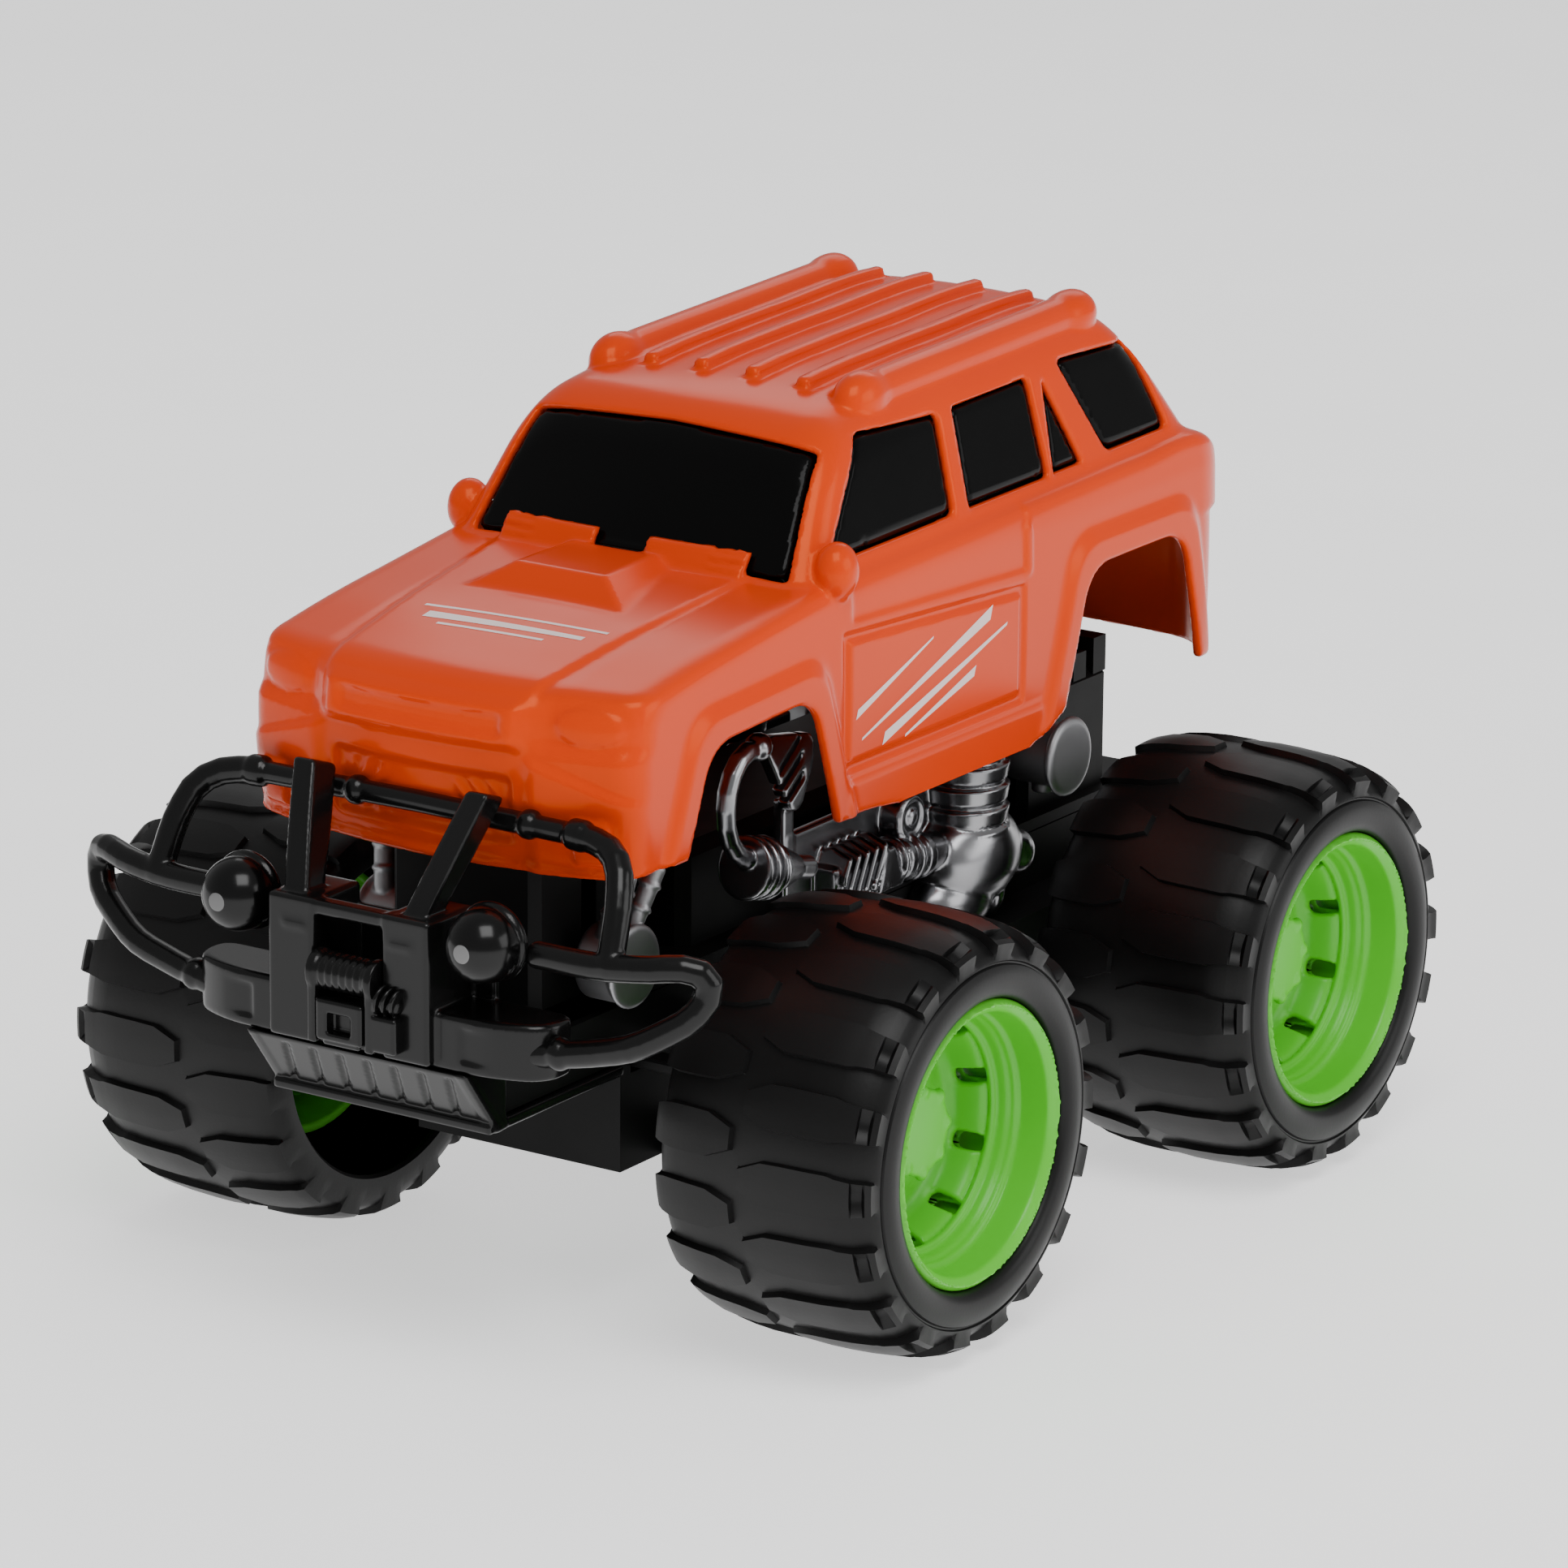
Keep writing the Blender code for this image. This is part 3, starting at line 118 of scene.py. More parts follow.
def along(p, start, end):
    """Share of the way from start to end, the distance from that line, and its length."""
    start, end = np.array(start, float), np.array(end, float)
    way = end - start
    offset = [p[i] - start[i] for i in range(3)]
    share = sum(offset[i] * way[i] for i in range(3)) / (way @ way)
    away = [offset[i] - share * way[i] for i in range(3)]
    return share, np.sqrt(sum(a * a for a in away)), np.linalg.norm(way)


def capsule(p, start, end, radius, end_radius=None):
    start, end = np.array(start, float), np.array(end, float)
    share, _, _ = along(p, start, end)
    share = np.clip(share, 0.0, 1.0)
    away = np.sqrt(sum((p[i] - start[i] - share * (end[i] - start[i])) ** 2 for i in range(3)))
    return away - radius - share * ((end_radius or radius) - radius)


def drum(p, start, end, radius, edge=0.5, end_radius=None):
    """Cylinder or cone with flat ends and rounded rims."""
    share, away, length = along(p, start, end)
    wide = radius + np.clip(share, 0, 1) * ((end_radius or radius) - radius)
    beyond = np.abs(share - 0.5) * length - length / 2
    return smax(away - wide, beyond, edge * 2)


def pipe(p, points, radius):
    """Tube along a route, through a smooth line drawn between its points."""
    points = np.array(points, float)
    at = np.concatenate([[0.0], np.cumsum(np.linalg.norm(np.diff(points, axis=0), axis=1))])
    lines = [curve(*zip(at, points[:, i])) for i in range(3)]
    stops = np.linspace(0, at[-1], max(3, int(at[-1] / 3.0)))
    route = np.stack([line(stops) for line in lines], axis=1)
    total = capsule(p, route[0], route[1], radius)
    for a, b in zip(route[1:], route[2:]):
        total = np.minimum(total, capsule(p, a, b, radius))
    return total


def convex(a, b, corners, fillet):
    """Field of a flat convex outline given by its corners, anticlockwise."""
    sides = []
    for (a0, b0), (a1, b1) in zip(corners, corners[1:] + corners[:1]):
        size = math.hypot(a1 - a0, b1 - b0)
        sides.append(((a - a0) * (b1 - b0) - (b - b0) * (a1 - a0)) / size)
    return meet(sides, fillet)


def soft_step(value, start, end):
    share = np.clip((value - start) / (end - start), 0.0, 1.0)
    return share * share * (3 - 2 * share)


def band(value, low, high, soft):
    """1 between low and high, falling to 0 over soft outside them."""
    return soft_step(value, low - soft, low) * (1 - soft_step(value, high, high + soft))


def bevel(value, low, high, wide):
    """1 between low and high, with straight ramps so the edges of the facets stay sharp."""
    rising = np.clip((value - low) / wide + 0.5, 0.0, 1.0)
    falling = np.clip((high - value) / wide + 0.5, 0.0, 1.0)
    return rising * falling


def curve(*knots):
    """Smooth function through (position, value) knots."""
    at = np.array([k[0] for k in knots], float)
    value = np.array([k[1] for k in knots], float)
    slope = np.gradient(value, at)
    fine = np.linspace(at[0], at[-1], 600)
    index = np.clip(np.searchsorted(at, fine, side="right") - 1, 0, len(at) - 2)
    width = at[index + 1] - at[index]
    t = (fine - at[index]) / width
    smooth = ((2 * t ** 3 - 3 * t ** 2 + 1) * value[index]
              + (t ** 3 - 2 * t ** 2 + t) * width * slope[index]
              + (3 * t ** 2 - 2 * t ** 3) * value[index + 1]
              + (t ** 3 - t ** 2) * width * slope[index + 1])
    return lambda position: np.interp(position, fine, smooth)


# -------------------------------- meshing
CORNERS = np.array([(i, j, k) for i in (0, 1) for j in (0, 1) for k in (0, 1)])
CUBE_EDGES = [(a, b) for a in range(8) for b in range(a + 1, 8)
              if np.abs(CORNERS[a] - CORNERS[b]).sum() == 1]


def surface_net(field, low, high, step):
    """Points and quads of the field's zero surface on a regular grid."""
    low = np.array(low, float)
    axes = [np.arange(low[i], high[i] + step, step) for i in range(3)]
    grid = np.meshgrid(*axes, indexing="ij", sparse=True)
    values = np.broadcast_to(field(grid), [len(a) for a in axes]).astype(np.float32)
    inside = values < 0
    count = sum(inside[c[0]:inside.shape[0] - 1 + c[0], c[1]:inside.shape[1] - 1 + c[1],
                       c[2]:inside.shape[2] - 1 + c[2]].astype(np.int8) for c in CORNERS)
    cells = np.argwhere((count > 0) & (count < 8))
    at_corner = np.stack([values[tuple((cells + c).T)] for c in CORNERS], axis=1).astype(float)
    total = np.zeros((len(cells), 3))
    crossings = np.zeros(len(cells))
    for a, b in CUBE_EDGES:
        va, vb = at_corner[:, a], at_corner[:, b]
        cross = (va < 0) != (vb < 0)
        share = np.where(cross, va / np.where(cross, va - vb, 1.0), 0.0)
        total += np.where(cross[:, None], CORNERS[a] + share[:, None] * (CORNERS[b] - CORNERS[a]), 0.0)
        crossings += cross
    points = low + step * (cells + total / crossings[:, None])
    number = np.full(np.array(inside.shape) - 1, -1, np.int64)
    number[tuple(cells.T)] = np.arange(len(cells))
    quads = []
    for axis in range(3):
        one, two = (axis + 1) % 3, (axis + 2) % 3
        ahead = np.take(inside, range(1, inside.shape[axis]), axis)
        behind = np.take(inside, range(inside.shape[axis] - 1), axis)
        for flip, change in ((False, behind & ~ahead), (True, ~behind & ahead)):
            at = np.argwhere(change)
            at = at[(at[:, one] > 0) & (at[:, two] > 0)]
            ring = []
            for back_one, back_two in ((1, 1), (0, 1), (0, 0), (1, 0)):
                cell = at.copy()
                cell[:, one] -= back_one
                cell[:, two] -= back_two
                ring.append(number[tuple(np.minimum(cell, np.array(number.shape) - 1).T)])
            quad = np.stack(ring[::-1] if flip else ring, axis=1)
            quads.append(quad[(quad >= 0).all(axis=1)])
    return points, np.concatenate(quads)


def settle(points, field, step, rounds=2):
    """Moves the points onto the true surface."""
    nudge = step * 0.2
    for _ in range(rounds):
        here = field(points.T)
        slope = np.stack([(field((points + nudge * axis).T) - field((points - nudge * axis).T)) / (2 * nudge)
                          for axis in np.eye(3)], axis=1)
        size = np.maximum((slope ** 2).sum(axis=1), 0.2)
        move = -(here / size)[:, None] * slope
        reach = np.linalg.norm(move, axis=1)
        move *= np.minimum(1.0, 0.45 * step / np.maximum(reach, 1e-9))[:, None]
        points = points + move
    return points


def new_mesh(name, points, faces, smooth=True):
    """Mesh in metres from points in the construction frame."""
    mesh = bpy.data.meshes.new(name)
    shifted = (np.asarray(points, float) + (0.0, MIDDLE, 0.0)) * MM
    mesh.from_pydata(shifted.tolist(), [], [list(map(int, f)) for f in faces])
    mesh.validate()
    if smooth:
        mesh.shade_smooth()
    mesh.update()
    return mesh


def piece(name, mesh, material, body, replaced=()):
    obj = bpy.data.objects.new(name, mesh)
    bpy.context.scene.collection.objects.link(obj)
    mesh.materials.append(material)
    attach(obj, body)
    if replaced:
        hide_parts(*replaced)
    return obj


def moulded(name, field, low, high, step, material, body, replaced=(), side=1):
    """Piece from a field; side -1 makes its mirror image on the truck's right."""
    step = step * FINE
    points, quads = surface_net(field, low, high, step)
    points = settle(points, field, step)
    if side < 0:
        points = points * (-1.0, 1.0, 1.0)
        quads = quads[:, ::-1]
    return piece(name, new_mesh(name, points, quads), material, body, replaced)


# -------------------------------- materials
class Nodes:
    """Short way to build a material's nodes."""

    def __init__(self, name, roughness, metallic=0.0, shine=0.5):
        self.material = bpy.data.materials.new(name)
        self.material.use_nodes = True
        self.tree = self.material.node_tree
        self.shader = self.tree.nodes["Principled BSDF"]
        self.shader.inputs["Roughness"].default_value = roughness
        self.shader.inputs["Metallic"].default_value = metallic
        self.shader.inputs["Specular IOR Level"].default_value = shine
        self.place = self.add("ShaderNodeTexCoord").outputs["Object"]

    def add(self, kind, **values):
        node = self.tree.nodes.new(kind)
        for key, value in values.items():
            setattr(node, key, value)
        return node

    def link(self, output, to):
        self.tree.links.new(output, to)

    def noise(self, scale, detail=3.0, stretch=(1, 1, 1)):
        mapping = self.add("ShaderNodeMapping")
        mapping.inputs["Scale"].default_value = stretch
        self.link(self.place, mapping.inputs["Vector"])
        node = self.add("ShaderNodeTexNoise")
        node.inputs["Scale"].default_value = scale
        node.inputs["Detail"].default_value = detail
        self.link(mapping.outputs["Vector"], node.inputs["Vector"])
        return node.outputs["Fac"]

    def ramp(self, factor, *stops):
        node = self.add("ShaderNodeValToRGB")
        while len(node.color_ramp.elements) < len(stops):
            node.color_ramp.elements.new(0.5)
        for element, (position, colour) in zip(node.color_ramp.elements, stops):
            element.position = position
            element.color = (*colour, 1.0)
        self.link(factor, node.inputs["Fac"])
        return node.outputs["Color"]

    def spread(self, factor, low, high):
        node = self.add("ShaderNodeMapRange")
        node.inputs["To Min"].default_value = low
        node.inputs["To Max"].default_value = high
        self.link(factor, node.inputs["Value"])
        return node.outputs["Result"]

    def bump(self, height, strength, distance):
        node = self.add("ShaderNodeBump")
        node.inputs["Strength"].default_value = strength
        node.inputs["Distance"].default_value = distance
        self.link(height, node.inputs["Height"])
        self.link(node.outputs["Normal"], self.shader.inputs["Normal"])


def plastic(name, dark, light, rough=(0.2, 0.3), grain=900, depth=0.00002, strength=0.15, shine=0.5,
            tint=(1.0, 1.0, 1.0)):
    """Moulded plastic: slow colour drift, uneven gloss and a faint moulding texture."""
    nodes = Nodes(name, rough[0], shine=shine)
    nodes.shader.inputs["Specular Tint"].default_value = (*tint, 1.0)
    nodes.link(nodes.ramp(nodes.noise(14, 2), (0.3, dark), (0.7, light)), nodes.shader.inputs["Base Color"])
    nodes.link(nodes.spread(nodes.noise(90, 4), *rough), nodes.shader.inputs["Roughness"])
    nodes.bump(nodes.noise(grain, 2), strength, depth)
    return nodes.material


def plated(name, dark, light, rough):
    """Vacuum plated plastic: dark mirror with cloudy patches."""
    nodes = Nodes(name, rough[0], metallic=1.0)
    nodes.link(nodes.ramp(nodes.noise(60, 3), (0.3, dark), (0.7, light)), nodes.shader.inputs["Base Color"])
    nodes.link(nodes.spread(nodes.noise(220, 4), *rough), nodes.shader.inputs["Roughness"])
    nodes.bump(nodes.noise(500, 2), 0.12, 0.00005)
    return nodes.material


def brushed(name, dark, light):
    nodes = Nodes(name, 0.3, metallic=1.0)
    streaks = nodes.noise(700, 2, stretch=(0.05, 1, 1))
    nodes.link(nodes.ramp(streaks, (0.3, dark), (0.7, light)), nodes.shader.inputs["Base Color"])
    nodes.link(nodes.spread(streaks, 0.25, 0.42), nodes.shader.inputs["Roughness"])
    nodes.bump(streaks, 0.1, 0.00002)
    return nodes.material


MATERIALS = {
    "body": plastic("orange_body", (0.7, 0.04, 0.001), (0.74, 0.048, 0.0015), (0.16, 0.25), shine=0.42,
                    tint=(1.0, 0.36, 0.12)),
    "glass": plastic("black_window", (0.001, 0.001, 0.001), (0.002, 0.002, 0.002), (0.12, 0.2), shine=0.1),
    "black": plastic("black_plastic", (0.002, 0.002, 0.002), (0.005, 0.005, 0.005), (0.16, 0.26), shine=0.3),
    "matte": plastic("black_chassis", (0.003, 0.003, 0.003), (0.007, 0.007, 0.007), (0.42, 0.54),
                     500, 0.00006, shine=0.11),
    "lamp": plastic("lamp_black", (0.001, 0.001, 0.001), (0.003, 0.003, 0.003), (0.16, 0.22), shine=0.3),
    "tyre": plastic("tyre_rubber", (0.002, 0.002, 0.002), (0.005, 0.0048, 0.0048), (0.34, 0.46),
                    1300, 0.00005, 0.3, shine=0.24),
    "rim": plastic("green_rim", (0.085, 0.5, 0.02), (0.105, 0.56, 0.028), (0.28, 0.36), shine=0.35),
    "plated": plated("dark_plating", (0.2, 0.2, 0.21), (0.32, 0.32, 0.33), (0.2, 0.3)),
    "satin": plated("satin_plating", (0.3, 0.3, 0.31), (0.4, 0.4, 0.41), (0.42, 0.52)),
    "steel": brushed("steel", (0.45, 0.45, 0.46), (0.7, 0.7, 0.71)),
    "white": plastic("gear_white", (0.72, 0.72, 0.68), (0.85, 0.85, 0.81), (0.35, 0.5)),
    "battery": plastic("battery_skin", (0.02, 0.03, 0.09), (0.03, 0.05, 0.13), (0.25, 0.4)),
    "board": plastic("board_green", (0.01, 0.09, 0.03), (0.02, 0.14, 0.05), (0.35, 0.5), 300, 0.00008),
    "wire": plastic("wire_red", (0.35, 0.01, 0.01), (0.5, 0.02, 0.02), (0.35, 0.45)),
    "grey": plastic("lamp_centre", (0.12, 0.12, 0.12), (0.2, 0.2, 0.2), (0.5, 0.6)),
    "print": plastic("white_print", (0.78, 0.6, 0.56), (0.9, 0.78, 0.75), (0.3, 0.42)),
}
NODE_MATERIALS = {
    "matte": ("chassis_lower", "chassis_upper", "front_bridge", "tie_rod", "steering_servo",
              "gearbox_base", "gearbox_cover", "battery_box", "battery_door", "power_switch",
              "knuckle_left", "knuckle_right"),
    "steel": ("kingpin_left", "kingpin_right", "stub_axle_left", "stub_axle_right", "rear_axle",
              "idler_shaft", "motor", "motor_pinion", "axle_bushing_left", "axle_bushing_right",
              "battery_door_screw", "body_screw_front_left", "body_screw_front_right",
              "body_screw_rear_left", "body_screw_rear_right"),
    "white": ("axle_gear", "idler_gear", "servo_horn"),
    "battery": ("battery_1", "battery_2", "battery_3"),
    "board": ("receiver_board",),
    "wire": ("battery_lead", "motor_lead"),
}
for key, names in NODE_MATERIALS.items():
    for name in names:
        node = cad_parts[name]
        node.data.materials.clear()
        node.data.materials.append(MATERIALS[key])


# -------------------------------- body shell
SKIN = 2.0                                        # thickness of the shell
CABIN_FLOOR = 143.0                               # the cabin's form starts inside the lower body
FLARE = 1.5                                       # how far the wheel arches stand out
FRONT_ARCH = [(-44.0, 88), (-57.0, 125.4), (-92.8, 123.8), (-105.5, 88)]
REAR_ARCH = [(96.0, 88), (84.8, 130.2), (47.3, 130.2), (34.5, 88)]
SIDE_WINDOWS = ([(2.2, 150.2), (3.0, 169.8), (-25.0, 171.0), (-43.6, 149.4)],
                [(38.6, 150.8), (37.6, 170.6), (9.2, 170.0), (8.6, 150.3)],
                [(51.6, 151.2), (43.4, 168.4), (41.4, 151.0)],
                [(86.4, 152.0), (79.8, 171.0), (50.4, 172.0), (62.4, 151.6)])
WINDOW_ROUNDING = (1.8, 1.6, 0.7, 2.4)
ROOF = curve((-60, 168), (-40, 173.6), (-28, 176.4), (-12, 178.2), (10, 179.3), (30, 179.9), (64, 180.6),
             (73, 180.0), (81, 177.0), (90, 172.0), (110, 158))
BELT = curve((-60, 147.6), (-38, 148.2), (0, 149.0), (40, 150.0), (70, 150.6), (98, 150.6), (106, 148.6),
             (116, 144))
HOOD_EDGE = curve((-130, 134.8), (-118, 137.8), (-108, 139.6), (-95.5, 141.7), (-70, 145.0), (-50, 147.6))
SIDE_BOTTOM = curve((-126, 100.4), (-106, 102.4), (-60, 97.4), (-40, 97.0), (30, 97.0), (38, 101.0),
                    (60, 101), (98, 100.2), (115, 99.6))
SCREEN_SLOPE = math.atan2(22.3, 15.6)
SCREEN_BASE = (-53.4, 147.8)
REAR_SLOPE = math.atan2(24.6, 18.0)
REAR_BASE = (98.0, 150.4)
RAIL_X = 30.0
RIB_X = (6.3, 18.8)
WIPER_X = (6.2, 29.6)


def screen_depth(x, y, z):
    """Height above the windscreen's plane, which bulges forward in the middle."""
    return (-(y - SCREEN_BASE[0]) * math.sin(SCREEN_SLOPE) + (z - SCREEN_BASE[1]) * math.cos(SCREEN_SLOPE)
            + 0.0019 * x * x - 2.3)


def rear_depth(x, y, z):
    return ((y - REAR_BASE[0]) * math.sin(REAR_SLOPE) + (z - REAR_BASE[1]) * math.cos(REAR_SLOPE)
            + 0.0012 * x * x - 1.9)


def roof_height(x, y):
    return ROOF(y) - 0.0016 * x * x


def hood_height(x, y):
    """Raised middle panel with a rounded step down to the side panels, and a faceted scoop."""
    edge = HOOD_EDGE(y)
    step_x = 24.5 + (y + 113.0) * 0.085
    panel = edge + 2.2 - 0.0006 * x * x
    side = edge + 0.9 - 0.05 * np.maximum(x - 30.0, 0)
    height = side + (panel - side) * (1 - soft_step(x, step_x - 0.6, step_x + 1.6))
    scoop_front = 144.4 + (y + 83.5) * 0.85
    scoop_side = 151.6 - (x - 9.0) * 0.62
    scoop_top = 150.3 + (y + 80.0) * 0.03
    scoop = np.minimum(np.minimum(scoop_front, scoop_side), scoop_top)
    return smax(height, scoop, 0.7)


def front_face(x, z):
    """Y of the nose, with the headlamp recesses, the framed grille and the lower grille."""
    face = -125.0 + 0.0036 * x * x + 0.0075 * (z - 121.0) ** 2
    face = face + 1.5 * bevel(x, 26.5, 60, 3.6) * bevel(z, 126.6, 136.2, 2.6)
    lens = np.maximum(1.0 - ((x - 36.5) / 7.5) ** 2 - ((z - 131.5) / 4.2) ** 2, 0.0)
    face = face - 1.1 * np.sqrt(lens + 0.01) * soft_step(lens, 0.0, 0.3)
    face = face - 1.9 * bevel(x, -3, 23.4, 3.0) * bevel(z, 126.3, 135.0, 2.2)
    face = face + 1.0 * bevel(x, -3, 19.4, 1.6) * bevel(z, 128.6, 132.8, 1.4)
    crease = 125.5 - (x - 25.0) * 0.33
    face = face - 1.0 * soft_step(x, 23.0, 27.0) * (1 - soft_step(z, crease - 2.2, crease))
    lower = bevel(x, -3, 21.0, 1.8) * bevel(z, 107.0, 120.0, 1.8)
    ribs = 0.3 * np.sin((x * 0.8 + z * 0.6) * math.tau / 3.4)
    ribs = ribs * band(z, 109.0, 117.5, 2.0) * band(x, 9, 17, 2.0)
    face = face + lower * (1.2 + ribs)
    face = face - 1.2 * band(x, 35.5, 41.0, 1.7) * band(z, 105.0, 112.5, 1.7)
    return face - 0.9 * (1 - soft_step(z, 101.6, 103.6))


def outline_reach(y, z):
    """Distances outside the two wheel arches."""
    return convex(y, z, FRONT_ARCH, 7.0), convex(y, z, REAR_ARCH, 8.0)


def body_outside(p):
    """The outer form, which goes on below the body's edge."""
    x, y, z = np.abs(p[0]), p[1], p[2]
    front_arch, rear_arch = outline_reach(y, z)
    wide = 46.9 - 0.0007 * (z - 122.0) ** 2 - 0.35 * soft_step(z, 141.0, 147.0)
    flare = FLARE * (1 - soft_step(front_arch, 4.5, 8.5))
    flare = flare + FLARE * (1 - soft_step(rear_arch, 4.5, 8.5)) * (1 - soft_step(y, 97.0, 101.0))
    rocker = 0.5 * (1 - soft_step(z, 103.6, 105.0)) * band(y, -42, 30, 2)
    door = 0.55 * band(y, -44.0, 23.0, 0.8) * band(z, 106.8, 132.5 - 0.06 * y, 0.8)
    door = door - 0.75 * band(y, -42.2, 21.2, 0.7) * band(z, 108.8, 130.6 - 0.06 * y, 0.7)
    ridge = 0.5 * band(y, 24.0, 25.4, 0.6) * band(z, 134.0, 143.5, 0.8)
    crease = 0.45 * soft_step(z, 134.6 - 0.05 * y, 136.6 - 0.05 * y) * band(y, -40, 24, 2)
    side = x - (wide + flare + rocker - door - crease + ridge)
    nose = front_face(x, z) - y
    tail = y - (109.8 + 2.2 * soft_step(z, 131.0, 132.6) - 0.0016 * x * x - 0.06 * np.maximum(z - 140, 0))
    hood = np.where(y < -50.0, hood_height(x, np.minimum(y, -50.0)), BELT(y))
    lower = smax(side, z - hood, 3.6)
    lower = smax(lower, tail, 15.0)
    lower = smax(lower, smax(nose, z - hood, 5.0), 5.5)
    wall = (x - (42.9 - (z - 149.5) * 0.25)) * 0.97
    roof = z - roof_height(x, y)
    cabin = smax(wall, roof, 9.0)
    cabin = smax(cabin, screen_depth(x, y, z) * 0.99, 6.0)
    cabin = smax(cabin, rear_depth(x, y, z), 9.0)
    cabin = smax(cabin, CABIN_FLOOR - z, 1.0)
    return smin(lower, cabin, 1.2)


def roof_fittings(p):
    """Four ribs and two rails with bulbous ends."""
    x, y, z = np.abs(p[0]), p[1], p[2]
    crown = roof_height(x, y)
    ribs = [meet([np.abs(x - at) - 1.6, z - crown - 2.3, crown - 4.0 - z, np.abs(y - 24.4) - 43.2], 1.2)
            for at in RIB_X]
    rail = capsule((x, y, z), (RAIL_X, -13.0, 176.5), (RAIL_X, 67.0, 179.0), 4.1)
    ends = [ellipsoid((x, y, z), (RAIL_X, -14.4, 175.6), (5.0, 7.0, 5.9)),
            ellipsoid((x, y, z), (RAIL_X, 66.0, 178.6), (5.2, 7.0, 4.9))]
    return join(ribs + [join([rail] + ends, 1.6)], 0.6)


def mirrors_and_wipers(p):
    """Door mirrors, and the two strips along the foot of the windscreen."""
    x, y, z = np.abs(p[0]), p[1], p[2]
    mirror = ellipsoid((x, y, z), (45.2, -45.0, 148.6), (4.4, 5.0, 6.0))
    strip = meet([WIPER_X[0] - x, x - WIPER_X[1], np.abs(screen_depth(x, y, z) - 0.8) - 0.75, z - 151.9,
                  CABIN_FLOOR - z], 0.4)
    blades = 0.25 * np.sin((z - 147) * math.tau / 1.9) * band(x, 22, 29, 0.5)
    return smin(mirror, strip + blades * band(z, 148, 152, 0.3), 0.8)


def window_cuts(p):
    """Side windows and the two screens: negative inside the openings."""
    x, y, z = np.abs(p[0]), p[1], p[2]
    sides = [convex(y, z, corners, k) - 0.4 for corners, k in zip(SIDE_WINDOWS, WINDOW_ROUNDING)]
    sides = smax(join(sides, 0.1), 26.0 - x, 1.0)
    up = (y - SCREEN_BASE[0]) * math.cos(SCREEN_SLOPE) + (z - SCREEN_BASE[1]) * math.sin(SCREEN_SLOPE)
    front = convex(x, up, [(-60, -2.0), (38.6, -0.6), (34.2, 27.8), (-60, 30.8)], 1.3)
    front = meet([front, y + 25.0, 146.4 - z, np.abs(screen_depth(x, y, z)) - 5.0], 0.5)
    back = (REAR_BASE[0] - y) * math.cos(REAR_SLOPE) + (z - REAR_BASE[1]) * math.sin(REAR_SLOPE)
    rear = convex(x, back, [(-60, 3.0), (35.0, 3.0), (30.0, 23.0), (-60, 24.0)], 3.0)
    rear = meet([rear, 74.0 - y, np.abs(rear_depth(x, y, z)) - 5.0], 0.5)
    return np.minimum(np.minimum(sides, front), rear)


def body_cuts(p):
    """Wheel arches and windows: negative where material is taken away."""
    x, y, z = np.abs(p[0]), p[1], p[2]
    front_arch, rear_arch = outline_reach(y, z)
    arches = smax(np.minimum(front_arch, rear_arch), 26.0 - x, 1.0)
    return np.minimum(arches, window_cuts(p))


def body_field(p):
    """The orange shell with its fittings and the posts for its screws."""
    outside = body_outside(p)
    inside = outside + SKIN
    skin = smin(outside, roof_fittings(p), 1.0)
    skin = smax(skin, -inside, 0.4)
    skin = smax(skin, SIDE_BOTTOM(p[1]) - p[2], 0.8)
    skin = smax(skin, -body_cuts(p), 0.9)
    skin = smin(skin, smax(mirrors_and_wipers(p), -inside, 0.5), 0.8)
    posts = [drum((np.abs(p[0]), p[1], p[2]), (16, at, 106.0), (16, at, top), 4.0) for at, top in
             ((-92.0, 142.0), (70.0, 178.5))]
    return smin(skin, join(posts, 0.5), 0.8)


def glass_field(p):
    """Dark lining inside the cabin, with panes that stand in the window openings."""
    outside = body_outside(p)
    lining = meet([outside + SKIN + 0.3, 145.6 - p[2], -56.0 - p[1], p[1] - 97.0], 0.4)
    pane = meet([outside + 0.7, window_cuts(p) + 0.75, -(outside + SKIN + 1.5)], 0.4)
    return smax(smin(lining, pane, 0.3), -(outside + SKIN + 2.5), 0.3)


def make_body():
    moulded("body", body_field, (-51.5, -129, 95.5), (51.5, 115, 186), 0.86, MATERIALS["body"],
            "chassis", ["body_shell"])
    moulded("window_lining", glass_field, (-46, -60, 144.5), (46, 101, 181), 1.1, MATERIALS["glass"],
            "chassis", ["window_insert"])


def solve_side(y, z):
    """X of the body's left side at each (y, z)."""
    x = np.full(len(y), 47.5)
    for _ in range(12):
        x = x - 0.9 * body_outside((x, y, z))
    return x


def solve_top(x, y):
    z = np.full(len(x), 150.0)
    for _ in range(14):
        z = z - 0.9 * body_outside((x, y, z))
    return z


